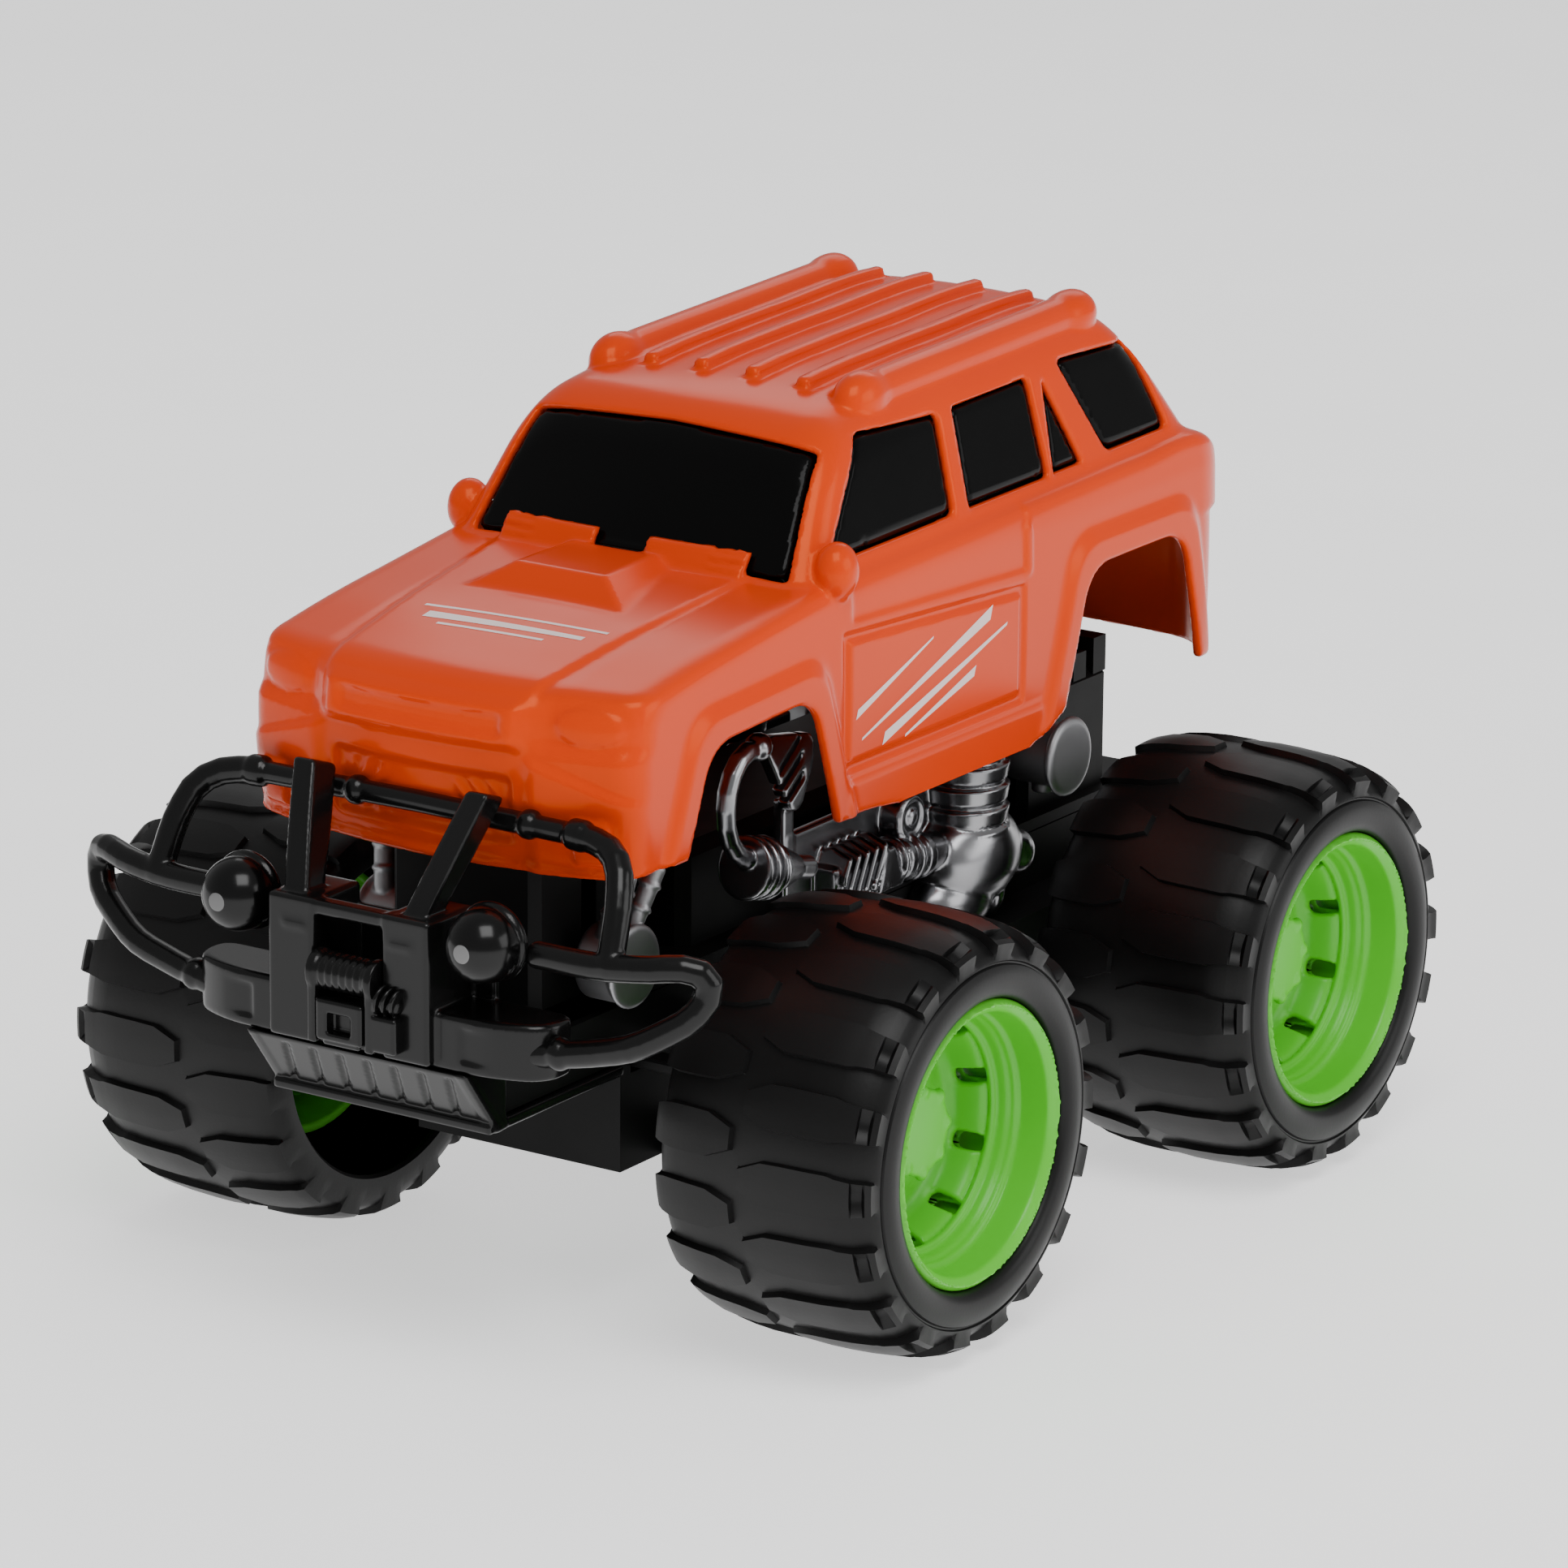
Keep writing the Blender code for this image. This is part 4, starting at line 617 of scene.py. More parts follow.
def printed(name, stripes, on_side, side=1):
    """Thin printed stripes: each is a start, an end and a width at both ends, in the surface's plane."""
    points, faces = [], []
    cuts, rows = 40, 4
    for start, end, wide_start, wide_end in stripes:
        start, end = np.array(start, float), np.array(end, float)
        across = np.array((0.35, 1.0)) if on_side else np.array((0.0, 1.0))
        first = len(points)
        for i in range(cuts + 1):
            share = i / cuts
            half = (wide_start + (wide_end - wide_start) * share) / 2
            for j in range(rows + 1):
                points.append(start + (end - start) * share + across * half * (2 * j / rows - 1))
        for i in range(cuts):
            for j in range(rows):
                a = first + i * (rows + 1) + j
                faces.append((a, a + rows + 1, a + rows + 2, a + 1))
    flat = np.array(points)
    if on_side:
        spots = np.stack([solve_side(flat[:, 0], flat[:, 1]) + 0.06, flat[:, 0], flat[:, 1]], axis=1)
    else:
        spots = np.stack([flat[:, 0], flat[:, 1], solve_top(flat[:, 0], flat[:, 1]) + 0.06], axis=1)
    if side < 0:
        spots[:, 0] *= -1
        faces = [face[::-1] for face in faces]
    piece(name, new_mesh(name, spots, faces), MATERIALS["print"], "chassis")


def make_prints():
    door = [((-38, 112.5), (10, 128.5), 0.6, 3.0), ((-30, 110.8), (16, 124.8), 2.6, 0.7),
            ((-22, 109.6), (4, 117.4), 0.6, 2.2), ((-40, 118.0), (-12, 128.0), 2.0, 0.5)]
    for side, label in SIDES:
        printed("door_stripes_" + label, door, True, side)
    hood = [((-20, -94.5), (23, -92.5), 0.9, 0.9), ((-17, -98.4), (20, -96.8), 2.8, 1.6),
            ((-12, -101.6), (13, -100.6), 0.9, 0.9)]
    printed("hood_stripes", hood, False)


make_body()
make_prints()


# -------------------------------- tyres
LUGS = 18
LUG_COLUMNS = 12
TREAD_MIDDLE = 68.0
# radius of the tread along x, without its lugs
CARCASS = curve((47.2, 38.2), (48.4, 40.2), (50.5, 41.6), (54, 42.6), (60, 43.3), (68, 43.6), (76, 43.6),
                (84, 43.3), (89, 42.7), (93, 41.4), (96, 39.4), (97.9, 37.4))
# x along the tread, lug height, lug half width as a share of the pitch, and 1 where the lug has its pit
OUTER_ROWS = ((68.8, 0.0, 0.15, 0), (69.2, 1.15, 0.14, 0), (74.5, 1.3, 0.28, 0), (79, 1.3, 0.29, 0),
              (84, 1.3, 0.29, 0), (88.6, 1.35, 0.29, 0), (89.4, 1.3, 0.28, 0), (90.6, 1.45, 0.26, 0),
              (93.2, 1.7, 0.235, 0), (93.5, 1.75, 0.235, 1), (95.2, 1.95, 0.23, 1), (95.5, 1.95, 0.23, 0),
              (96.3, 2.1, 0.22, 0), (96.9, 0.9, 0.21, 0))
INNER_ROWS = ((67.2, 0.0, 0.15, 0), (66.8, 1.15, 0.14, 0), (61.5, 1.3, 0.28, 0), (57, 1.3, 0.29, 0),
              (53, 1.35, 0.29, 0), (51, 1.3, 0.28, 0), (49.8, 1.5, 0.26, 0), (48.9, 1.5, 0.24, 0),
              (48.3, 0.6, 0.22, 0))


def lug_spots(half, inner):
    """Places of the columns over one pitch, as shares of it, and which of them are raised or in the pit."""
    edge = 0.02
    spots = [-0.5, -0.5 + (0.5 - half - edge) * 0.4, -half - edge - 0.02, -half - edge,
             -half, -half * 0.4, 0.0, half * 0.4, half,
             half + edge, half + edge + 0.02, 0.5 - (0.5 - half - edge) * 0.4]
    raised = [0, 0, 0, 0, 1, 1, 1, 1, 1, 0, 0, 0]
    pit = [0, 0, 0, 0, 0, 1, 1, 1, 0, 0, 0, 0]
    if inner:
        spots = [spot - 0.5 for spot in spots[6:]] + [spot + 0.5 for spot in spots[:6]]
        raised = raised[6:] + raised[:6]
        pit = pit[6:] + pit[:6]
    return np.array(spots), np.array(raised), np.array(pit)


def tread_ring(x, lift, half, pit, inner):
    """One ring of the tread as (x, radius, angle) for every column."""
    spots, raised, pitted = lug_spots(half, inner)
    slope = (CARCASS(x + 0.3) - CARCASS(x - 0.3)) / 0.6
    size = math.hypot(1.0, slope)
    ring = []
    for lug in range(LUGS):
        for spot, up, hole in zip(spots, raised, pitted):
            rise = lift * up * (1.0 if not (pit and hole) else 0.1)
            ring.append((x - rise * slope / size, CARCASS(x) + rise / size, math.tau * (lug + spot) / LUGS))
    return ring


def plain_ring(x, radius):
    count = LUGS * LUG_COLUMNS
    return [(x, radius, math.tau * (k / LUG_COLUMNS - 0.5) / LUGS) for k in range(count)]


def make_tyre_mesh():
    """One closed skin: tread with two rows of lugs, sidewall, bead and the hollow inside."""
    rings = [tread_ring(*row, True) for row in INNER_ROWS[::-1]]
    rings.append(plain_ring(TREAD_MIDDLE, CARCASS(TREAD_MIDDLE)))
    rings += [tread_ring(*row, False) for row in OUTER_ROWS]
    sidewall = ((97.5, 37.6), (97.6, 37.2), (97.2, 36.9), (97.2, 36.6), (97.8, 36.3), (98.3, 35.2),
                (98.5, 33.6), (98.4, 31.8), (97.8, 30.4), (96.8, 29.7), (95.4, 29.4))
    seat = ((92.0, 29.4), (84.0, 29.4), (74.0, 29.4), (73.2, 29.6), (73.0, 30.4), (73.6, 31.0))
    hollow = ((92.6, 31.2), (93.6, 33.0), (93.4, 37.0), (91.0, 39.6), (84.0, 41.6), (72.0, 42.0),
              (60.0, 41.6), (53.0, 39.8), (50.8, 37.6), (50.2, 34.8))
    inner_edge = ((49.4, 33.9), (48.2, 33.7), (47.5, 34.4), (47.4, 36.0), (47.5, 38.0))
    rings += [plain_ring(*spot) for spot in sidewall + seat + hollow + inner_edge]
    count = len(rings[0])
    points = [(x, r * math.cos(a), r * math.sin(a)) for ring in rings for x, r, a in ring]
    faces = []
    for k in range(len(rings)):
        here, there = k * count, ((k + 1) % len(rings)) * count
        for j in range(count):
            after = (j + 1) % count
            faces.append((here + j, here + after, there + after, there + j))
    return points, faces


def wheel_points(points, side, y):
    """Turns a wheel's own points, outer face to +X, to its place on the truck."""
    points = np.array(points)
    return np.stack([points[:, 0] * side, y + points[:, 1] * side, TYRE_RADIUS + points[:, 2]], axis=1)


# -------------------------------- rims
VENTS = 10
VENT_X = 80.7
VENT_ANGLE = math.radians(-20.8)
NUBS = 8
# x of the dish's face along the radius
RIM_DISH = curve((-1, 76.6), (14.0, 76.6), (19.6, 77.0), (20.3, 77.8), (22.2, 82.8), (22.8, 83.5),
                 (23.9, 83.9), (24.7, 87.2), (25.1, 87.7), (26.2, 88.0), (26.9, 91.5), (27.8, 96.2),
                 (40.0, 97.0))


def rim_field(p):
    """Deep dish with a rolled lip, two ringed steps, vents in its inner wall and a flat hub with nubs."""
    x, y, z = p[0], p[1], p[2]
    radius = np.sqrt(y * y + z * z)
    angle = np.arctan2(z, y)
    turn = ((angle - VENT_ANGLE) / math.tau * VENTS + 0.5) % 1.0 - 0.5
    across = turn * math.tau / VENTS * radius
    dish = RIM_DISH(radius)
    lean = np.sqrt(1.0 + ((RIM_DISH(radius + 0.15) - RIM_DISH(radius - 0.15)) / 0.3) ** 2)
    face = (x - dish) / lean
    plate = smax(face, -face - 2.2, 0.5)
    barrel = meet([radius - 28.6, 26.6 - radius, 66.4 - x, x - 96.0], 0.6)
    lip = np.sqrt((radius - 28.2) ** 2 + ((x - 95.9) * 1.1) ** 2) - 1.15
    plate = smax(plate, radius - 28.4, 0.5)
    vent = smax(np.abs(across) - 1.75, np.abs(x - VENT_X) - 3.1, 1.8)
    vent = smax(vent, np.abs(radius - 22.0) - 3.4, 0.3)
    plate = smax(plate, -vent, 0.8)
    hub = drum(p, (70.0, 0, 0), (83.9, 0, 0), 8.9, 0.5)
    nub_turn = (angle / math.tau * NUBS + 0.5) % 1.0 - 0.5
    nub_across = nub_turn * math.tau / NUBS * radius
    nubs = np.sqrt((radius - 8.6) ** 2 + nub_across ** 2 + ((x - 83.0) * 1.2) ** 2) - 1.5
    rings = smin(np.hypot(radius - 23.7, x - 84.5) - 0.75, np.hypot(radius - 26.1, x - 88.4) - 0.8, 0.1)
    bore = smax(radius - 2.35, x - 79.5, 0.2)
    sleeve = meet([radius - 6.0, 66.6 - x, x - 78.0], 0.6)
    body = join([plate, barrel, lip, smin(hub, nubs, 0.8), sleeve, rings], 0.7)
    return smax(body, -bore, 0.2)


def make_wheels():
    tyre_points, tyre_faces = make_tyre_mesh()
    step = 0.52 * FINE
    rim_points, rim_quads = surface_net(rim_field, (64, -30, -30), (99, 30, 30), step)
    rim_points = settle(rim_points, rim_field, step)
    for label, (body, side, y) in WHEELS.items():
        mesh = new_mesh("tyre_" + label, wheel_points(tyre_points, side, y), tyre_faces)
        mesh.set_sharp_from_angle(angle=math.radians(38))
        piece("tread_tyre_" + label, mesh, MATERIALS["tyre"], body, ["tyre_" + label])
        mesh = new_mesh("rim_" + label, wheel_points(rim_points, side, y), rim_quads)
        piece("dished_rim_" + label, mesh, MATERIALS["rim"], body, ["rim_" + label])


make_wheels()


# -------------------------------- bumper, bars, lamps, winch, skid plate
LAMP = (29.6, -143.5, 92.9)
LAMP_RADIUS = 7.5


def bumper_field(p):
    """Bumper bar, two winch plates with a shelf between them, and two blades leaning out and back."""
    x, y, z = np.abs(p[0]), p[1], p[2]
    plan = convex(x, y, [(43.0, -131.0), (-60, -131.0), (-60, -145.4), (34.0, -145.4), (43.0, -140.2)], 4.0)
    bar = smax(plan, np.abs(z - 72.2) - 5.8, 1.4)
    panel = meet([np.abs(x - 31.5) - 6.4, np.abs(z - 72.2) - 3.6, np.abs(y + 146.0) - 1.1], 1.0)
    bar = smax(bar, -panel, 0.5)
    plate = brick((x, y, z), (8.2, -147.9, 67.2), (19.4, -132.0, 96.4), 0.9)
    web = brick((x, y, z), (-5, -133.0, 67.0), (24.6, -131.2, 92.0), 0.5)
    shelf = brick((x, y, z), (-5, -147.6, 93.4), (9.0, -143.6, 96.2), 0.6)
    share = np.clip((z - 92.0) / 26.5, -0.1, 1.1)
    out = np.abs(x - (13.2 + 7.4 * share)) - (2.9 - 0.3 * share)
    deep = np.abs(y + (144.6 - 14.2 * share)) - (2.9 + 1.7 * share * (1.7 - share))
    cap = z - 118.9 + 0.35 * (y + 131.0)
    blade = meet([out * 0.95, deep * 0.88, cap, 90.0 - z], 1.0)
    return join([bar, plate, web, shelf, blade], 0.8)


def bull_bar_field(p):
    """Cross tube with collars and bent posts, and the side hoops."""
    q = (np.abs(p[0]), p[1], p[2])
    cross = pipe(q, [(-5, -124.4, 112.3), (40.0, -124.8, 112.0)], 2.25)
    collars = [drum(q, (at - 1.6, -124.6, 112.2), (at + 1.6, -124.6, 112.1), 3.0, 0.7)
               for at in (14.6, 27.0)]
    collars.append(drum(q, (36.6, -124.7, 112.1), (41.0, -125.0, 112.0), 3.2, 0.7))
    bend = pipe(q, [(40.0, -124.8, 112.0), (47.0, -126.3, 110.9), (51.0, -128.8, 108.4),
                    (52.8, -131.2, 104.4), (54.7, -137.0, 91.6)], 2.75)
    hoop = pipe(q, [(38.5, -137.5, 91.0), (54.0, -137.2, 91.2), (64.0, -136.0, 92.3), (70.0, -133.8, 92.9),
                    (73.6, -131.6, 91.2), (74.0, -131.4, 88.2), (72.4, -132.9, 84.4), (66.0, -135.6, 79.4),
                    (60.6, -137.2, 76.4), (52.0, -137.8, 73.8), (38.0, -139.6, 71.4)], 2.75)
    cuff = drum(q, (42.6, -138.8, 72.2), (45.6, -138.4, 72.7), 3.4, 0.8)
    return join([cross, bend, hoop, cuff] + collars, 0.7)


def lamp_field(p):
    """Domed lamp with a bezel ring and a short neck."""
    x, y, z = LAMP
    dome = ellipsoid(p, LAMP, (LAMP_RADIUS, LAMP_RADIUS, LAMP_RADIUS))
    bezel = drum(p, (x, y + 1.4, z), (x, y + 4.6, z), 8.15, 1.1)
    neck = drum(p, (x, y + 4.0, z), (x, y + 9.0, z), 5.0, 0.8, 3.4)
    return join([smin(dome, bezel, 0.5), neck], 0.8)


def lamp_dot_field(p):
    """Grey disc on the front of the dome."""
    x, y, z = LAMP
    raised = LAMP_RADIUS + 0.12
    disc = np.hypot(p[0] - x, p[2] - z) - 1.9 + (p[1] > y) * 9
    return smax(ellipsoid(p, LAMP, (raised, raised, raised)), disc, 0.2)


def winch_field(p):
    """Spool between two cheeks, hook block below it and a ribbed motor on the truck's left."""
    x, y, z = p
    turns = 0.28 * np.abs(np.sin((x + 7) * math.pi / 1.7))
    spool = smax(np.hypot(y + 147.2, z - 82.6) - 3.6 - turns, np.abs(x) - 6.6, 0.4)
    cheeks = smax(np.hypot(y + 147.0, z - 82.4) - 4.4, np.abs(np.abs(x) - 7.0) - 0.9, 0.5)
    legs = brick((np.abs(x), y, z), (5.9, -150.6, 68.4), (7.9, -144.6, 82.0), 0.5)
    block = brick(p, (-5.6, -151.0, 69.4), (5.6, -146.0, 77.8), 0.7)
    block = smax(block, -brick(p, (-2.8, -153, 71.0), (2.8, -148.6, 75.2), 0.5), 0.4)
    foot = drum(p, (-4.4, -149.6, 69.0), (4.4, -149.6, 69.0), 0.7, 0.3)
    core = drum(p, (6.0, -148.0, 79.6), (13.2, -148.0, 78.2), 2.3, 0.5, 1.5)
    rings = [drum(p, (at, -148.0, 79.4), (at + 1.0, -148.0, 79.2), 3.3 - 0.12 * (at - 8), 0.35)
             for at in (8.2, 10.0, 11.8)]
    side_box = brick(p, (7.4, -150.6, 69.0), (13.4, -145.8, 76.4), 0.8)
    return join([spool, cheeks, legs, block, foot, core, side_box] + rings, 0.4)


def skid_field(p):
    """Sloping plate with slanted grooves, its cheeks and its flat tail."""
    x, y, z = np.abs(p[0]), p[1], p[2]
    outer_skin = -(y + 145.7) * 12.1 / 15.2 - (z - 66.1) * 9.2 / 15.2
    inner_skin = (y + 143.6) * 12.1 / 15.2 + (z - 66.1) * 9.2 / 15.2
    front = meet([outer_skin, inner_skin, z - 66.1, 51.8 - z, x - 26.5], 0.7)
    tail = brick((x, y, z), (-5, -137.4, 51.8), (26.5, -91.6, 54.0), 0.6)
    cheeks = meet([np.abs(x - 25.4) - 1.1, outer_skin, z - 66.1, 52.0 - z, y + 131.5], 0.6)
    pitch = 6.6
    slant = (p[0] - (z - 59) * 0.35) / pitch
    lanes = np.abs(slant - np.round(slant)) * pitch
    groove = meet([lanes - 0.7, -0.5 - outer_skin, z - 64.6, 54.6 - z, x - 23.5], 0.5)
    return smax(join([front, tail, cheeks], 0.6), -groove, 0.4)


def make_front():
    black = MATERIALS["black"]
    moulded("bumper", bumper_field, (-44, -149, 65.5), (44, -126.5, 120.5), 0.62, black, "chassis",
            ["front_bumper"])
    moulded("bars", bull_bar_field, (-79, -143, 68), (79, -120.5, 117), 0.62, black, "chassis",
            ["bull_bar"])
    moulded("winch_unit", winch_field, (-9.5, -152.5, 67), (15, -141.5, 88), 0.36, black, "chassis",
            ["winch"])
    moulded("skid_plate", skid_field, (-28, -147.5, 50.5), (28, -90.5, 67.5), 0.55, black, "chassis",
            ["front_skid_plate"])
    for side, label in SIDES:
        moulded("lamp_dome_" + label, lamp_field, (20, -152.5, 84), (39, -133.5, 103.5), 0.45,
                MATERIALS["lamp"], "chassis", ["lamp_" + label], side)
        moulded("lamp_spot_" + label, lamp_dot_field, (27, -151.8, 91), (32.4, -148.4, 96.4), 0.2,
                MATERIALS["grey"], "chassis", side=side)


make_front()


# -------------------------------- plated trim
BELLOWS = (30.5, 26.7)
RING_PITCH = 4.7


def bellows_part(p):
    """Stack of flared rings over the housing."""
    x, y, z = p
    away = np.hypot(x - BELLOWS[0], y - BELLOWS[1])
    turn = ((z - 77.2) / RING_PITCH) % 1.0
    flare = 0.9 * turn - 1.5 * soft_step(turn, 0.8, 0.9) - 1.5 * (1 - soft_step(turn, 0.0, 0.12))
    ringed = away - 9.0 - flare * 0.8
    return meet([ringed * 0.8, z - 106.4, 76.0 - z], 0.6)


def clamp_part(p):
    """Hose from the housing to the valve cover, with clamps of different widths."""
    start, end = (30.6, 17.0, 73.0), (31.4, -10.0, 76.6)
    hose = drum(p, start, end, 3.9, 0.6)
    length = along(p, start, end)[2]
    way = (np.array(end) - np.array(start)) / length
    clamps = []
    for at, wide, radius in ((0.36, 3.2, 5.0), (0.52, 1.6, 5.3), (0.62, 2.8, 4.6), (0.76, 1.4, 5.2)):
        middle = np.array(start) + way * at * length
        clamps.append(drum(p, middle - way * wide / 2, middle + way * wide / 2, radius, 0.4))
    return join([hose] + clamps, 0.3)


def cover_part(p):
    """Finned valve cover with a bevelled box and bolt heads."""
    x, y, z = p
    base = brick(p, (25.0, -26.0, 71.0), (33.4, -6.0, 79.6), 1.2)
    pitch = 3.3
    lean = (y + 16.0) - (z - 76.0) * 0.5
    lanes = np.abs(lean / pitch - np.round(lean / pitch)) * pitch
    fins = meet([lanes - 0.62, np.abs(y + 17.0) - 8.6, z - 83.2 + 0.3 * np.abs(x - 30.0), x - 35.4, 73.0 - z,
                 26.0 - x], 0.5)
    bevel = meet([np.abs(y + 8.6) + (z - 75.0) * 0.35 - 3.6, z - 80.4, x - 35.6, 26.0 - x, 71.5 - z], 0.7)
    bolts = [ellipsoid(p, (34.6, at, level), (1.1, 1.0, 1.0)) for at, level in
             ((-23.6, 74.0), (-19.0, 73.4), (-14.4, 73.6), (-9.6, 73.0), (-4.6, 73.6))]
    return join([base, fins, bevel] + bolts, 0.5)


def shield_part(p):
    """Plate with three slanted slots behind the front arch."""
    x, y, z = p
    plan = convex(-y, z, [(44.9, 111.8), (29.0, 108.9), (28.2, 104.0), (33.2, 93.6), (36.6, 93.6),
                          (47.3, 110.4)], 2.0)
    slots = []
    for k in range(3):
        lane = (z - 98.5 - 4.4 * k) - (y + 36.0) * 0.75
        slots.append(meet([np.abs(lane) * 0.8 - 0.75, np.abs(y + 37.2) - (4.6 - 0.4 * k)], 0.4))
    plate = smax(plan, np.abs(x - 28.0) - 1.6, 0.8)
    return smax(plate, -join(slots, 0.1), 0.4)


def emblem_part(p):
    """Round cover plate with a raised ring and a small boss."""
    x, y, z = p
    away = np.hypot(y - 4.0, z - 83.4)
    plate = smax(away - 5.3, np.abs(x - 28.6) - 3.4, 0.6)
    ring = np.hypot(away - 4.1, x - 32.0) - 0.55
    boss = ellipsoid(p, (32.0, 4.0, 83.4), (1.0, 1.9, 1.9))
    return join([plate, ring, boss], 0.4)


def engine_field(p):
    """The whole engine cover, cut back where the chassis stands."""
    x, z = p[0], p[2]
    housing = ellipsoid(p, (30.0, 27.6, 69.6), (10.6, 15.4, 11.4))
    shoulder = drum(p, (BELLOWS[0], BELLOWS[1], 66.0), (BELLOWS[0], BELLOWS[1], 77.6), 10.0, 1.8, 9.3)
    lower = ellipsoid(p, (29.6, 21.5, 60.8), (8.5, 12.3, 8.2))
    lip = drum(p, (29.6, 30.4, 61.6), (29.6, 33.6, 62.0), 7.6, 0.8)
    side_dome = ellipsoid(p, (34.0, 40.6, 67.6), (4.6, 5.0, 5.0))
    elbow = pipe(p, [(33.0, 33.0, 71.0), (36.0, 38.0, 71.0), (34.5, 41.5, 66.0)], 2.6)
    back = brick(p, (24.8, -36.0, 72.0), (27.4, 44.0, 88.0), 0.6)
    strut = brick(p, (24.8, -37.0, 80.0), (27.4, -32.6, 96.0), 0.6)
    total = join([smin(housing, shoulder, 2.0), bellows_part(p), smin(lower, lip, 0.6),
                  smin(side_dome, elbow, 0.8), clamp_part(p), cover_part(p), shield_part(p), emblem_part(p),
                  back, strut], 0.6)
    deck = np.maximum(x - 27.2, z - 69.2)
    tunnel = x - 19.4
    shelf = z - 54.4
    return np.maximum(total, -np.minimum(np.minimum(deck, tunnel), shelf))


def exhaust_field(p):
    """Curved pipe with a ball end and a finned cone."""
    route = [(34, -56, 112.4), (34, -60.5, 112.7), (34, -64.2, 110.4), (34, -66.6, 106.6),
             (34, -67.4, 102.0), (33.9, -66.8, 98.0), (33.6, -64.8, 94.6), (33.2, -61.6, 91.8),
             (32.6, -57.0, 89.4)]
    tube = pipe(p, route, 2.0)
    ball = ellipsoid(p, (34, -55.8, 112.9), (2.9, 2.9, 2.9))
    lean = np.array((0.0, 14.6, -3.4)) / 15.0
    foot = np.array((32.2, -57.4, 87.6))
    pitch = 2.9
    discs = [drum(p, foot + lean * (pitch * k - 0.7), foot + lean * (pitch * k + 0.7), 6.7, 0.5)
             for k in range(3)]
    cores = [drum(p, foot + lean * (pitch * k + 0.2), foot + lean * (pitch * k + 2.7), 4.2, 0.4, 5.6)
             for k in range(3)]
    cone = drum(p, foot + lean * 7.6, foot + lean * 18.4, 5.9, 0.8, 2.6)
    tail = drum(p, foot + lean * 17.6, foot + lean * 23.6, 2.6, 0.6)
    return join([tube, ball, cone, tail] + discs + cores, 0.5)


def front_canister_field(p):
    """Round can with a wider lid and two stepped feeds."""
    disc = drum(p, (30.4, -95.5, 76.6), (32.2, -95.5, 76.6), 8.7, 0.8)
    can = drum(p, (22.1, -95.5, 76.6), (31.0, -95.5, 76.6), 7.8, 0.5)
    feeds = []
    for start, end, radius in (((28.2, -92.6, 82.0), (30.6, -86.2, 95.2), 2.0),
                               ((27.2, -98.6, 82.0), (29.4, -95.4, 95.6), 2.5)):
        start, end = np.array(start), np.array(end)
        feeds.append(drum(p, start, end, radius, 0.5))
        for share in (0.34, 0.68):
            at = start + (end - start) * share
            feeds.append(drum(p, at, at + (end - start) * 0.07, radius + 0.45, 0.3))
    return join([disc, can] + feeds, 0.4)


def rear_canister_field(p):
    """Round can with a wider lid, a stem above and a stud below."""
    y, z = 57.0, 85.0
    can = drum(p, (24.5, y, z), (36.4, y, z), 6.9, 0.5)
    lid = drum(p, (35.9, y, z), (38.2, y, z), 8.7, 0.9)
    stem = drum(p, (27.0, 60.0, 90.5), (32.6, 60.0, 94.6), 1.6, 0.4)
    stud = drum(p, (31.0, 57.0, 78.6), (31.0, 57.0, 76.3), 2.4, 0.4)
    return join([can, lid, stem, stud], 0.4)


def make_trim():
    plated_black = MATERIALS["plated"]
    for side, label in SIDES:
        moulded("engine_cover_" + label, engine_field, (18.6, -49.5, 52.5), (42, 47, 113.5), 0.55,
                plated_black, "chassis", ["engine_trim_" + label], side)
        moulded("curved_pipe_" + label, exhaust_field, (24.6, -72.5, 78), (40, -32, 117), 0.5, plated_black,
                "chassis", ["exhaust_pipe_" + label], side)
        moulded("round_can_front_" + label, front_canister_field, (21, -105.5, 66.5), (34.5, -83, 98.5),
                0.45, MATERIALS["satin"], "chassis", ["front_canister_" + label], side)
        moulded("round_can_rear_" + label, rear_canister_field, (23.4, 47, 75), (39.5, 67, 97), 0.45,
                MATERIALS["satin"], "chassis", ["rear_canister_" + label], side)


make_trim()


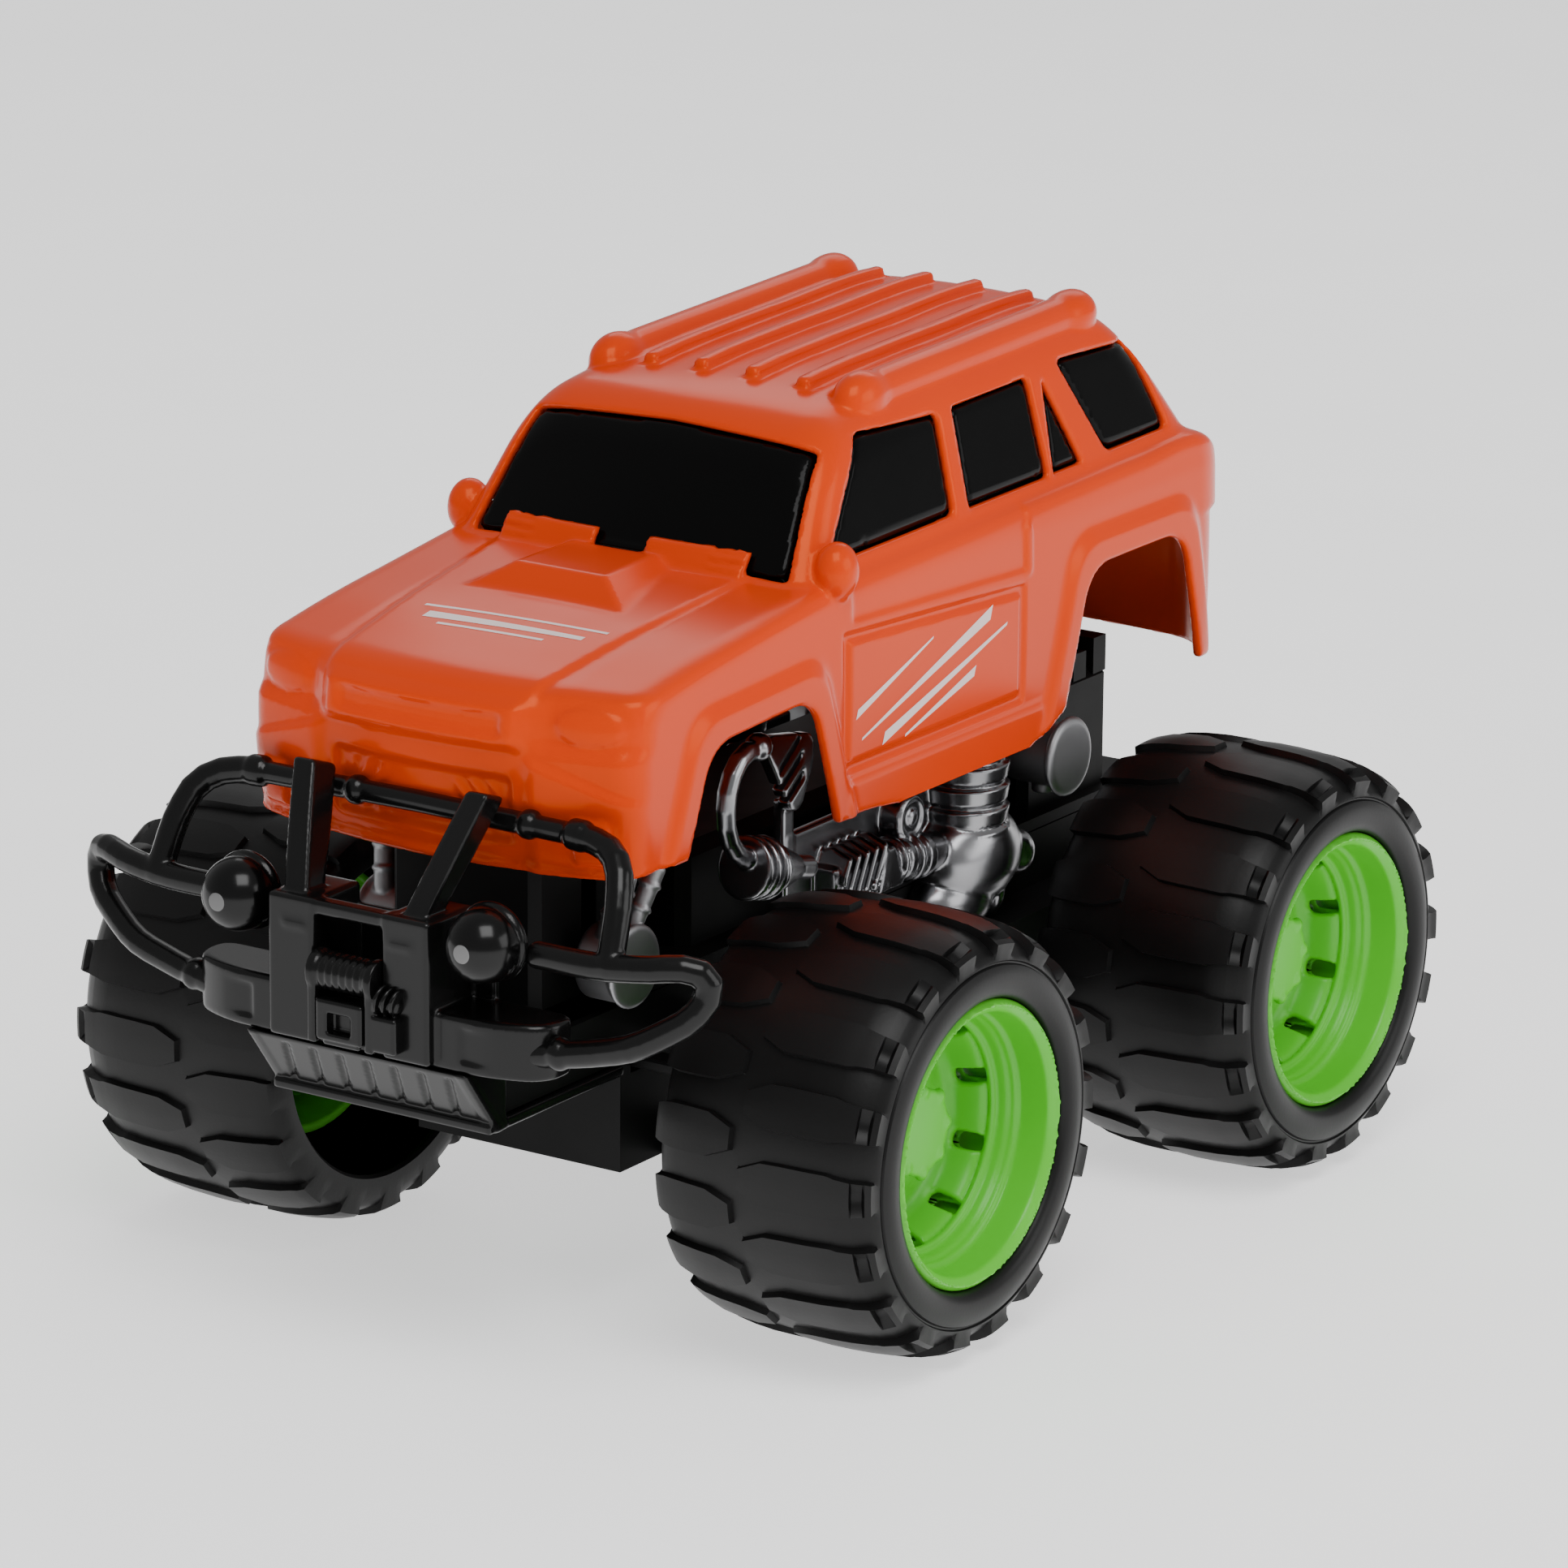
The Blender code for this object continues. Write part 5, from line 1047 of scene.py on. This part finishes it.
# -------------------------------- stage, light and camera
def make_stage():
    reach = 3000
    points = [(-reach, -reach, 0), (reach, -reach, 0), (reach, reach, 0), (-reach, reach, 0)]
    floor = bpy.data.objects.new("floor", new_mesh("floor", points, [(0, 1, 2, 3)], smooth=False))
    bpy.context.scene.collection.objects.link(floor)
    pale = plastic("pale_floor", (0.86, 0.86, 0.86), (0.9, 0.9, 0.9), (0.6, 0.75))
    glow = pale.node_tree.nodes["Principled BSDF"]
    glow.inputs["Emission Color"].default_value = (1.0, 1.0, 1.0, 1.0)
    glow.inputs["Emission Strength"].default_value = 0.9
    floor.data.materials.append(pale)
    world = bpy.data.worlds.new("white_surround")
    bpy.context.scene.world = world
    world.use_nodes = True
    world.node_tree.nodes["Background"].inputs["Color"].default_value = (1.0, 1.0, 1.0, 1.0)
    world.node_tree.nodes["Background"].inputs["Strength"].default_value = 0.4


def add_light(name, spot, target, size, power):
    """Soft rectangular light aimed at a point of the truck."""
    light = bpy.data.lights.new(name, "AREA")
    light.shape = "RECTANGLE"
    light.size, light.size_y = size[0] * MM, size[1] * MM
    light.energy = power
    obj = bpy.data.objects.new(name, light)
    obj.location = (Vector(spot) + Vector((0, MIDDLE, 0))) * MM
    aim = Vector(target) - Vector(spot)
    obj.rotation_euler = aim.to_track_quat("-Z", "Y").to_euler()
    bpy.context.scene.collection.objects.link(obj)


CAMERA_SPOT = (892.2, -1329.5, 552.4)
CAMERA_AZIMUTH, CAMERA_ELEVATION, CAMERA_ROLL = 33.78, 16.235, 0.451
CAMERA_LENS = 183.29


def make_camera():
    turn, rise, roll = (math.radians(a) for a in (CAMERA_AZIMUTH, CAMERA_ELEVATION, CAMERA_ROLL))
    back = Vector((math.sin(turn) * math.cos(rise), -math.cos(turn) * math.cos(rise), math.sin(rise)))
    level = Vector((math.cos(turn), math.sin(turn), 0.0))
    upright = back.cross(level)
    right = math.cos(roll) * level + math.sin(roll) * upright
    up = -math.sin(roll) * level + math.cos(roll) * upright
    camera = bpy.data.objects.new("camera", bpy.data.cameras.new("camera"))
    camera.data.lens = CAMERA_LENS
    camera.data.clip_start = 0.05
    matrix = Matrix((right, up, back)).transposed().to_4x4()
    matrix.translation = (Vector(CAMERA_SPOT) + Vector((0, MIDDLE, 0))) * MM
    camera.matrix_world = matrix
    bpy.context.scene.collection.objects.link(camera)
    bpy.context.scene.camera = camera


make_stage()
add_light("key", (500, -500, 1100), (0, 0, 100), (700, 700), 9)
add_light("left_fill", (1300, 300, 500), (0, 0, 100), (900, 700), 5)
add_light("back", (-400, 900, 900), (0, 0, 120), (900, 500), 1.8)
make_camera()
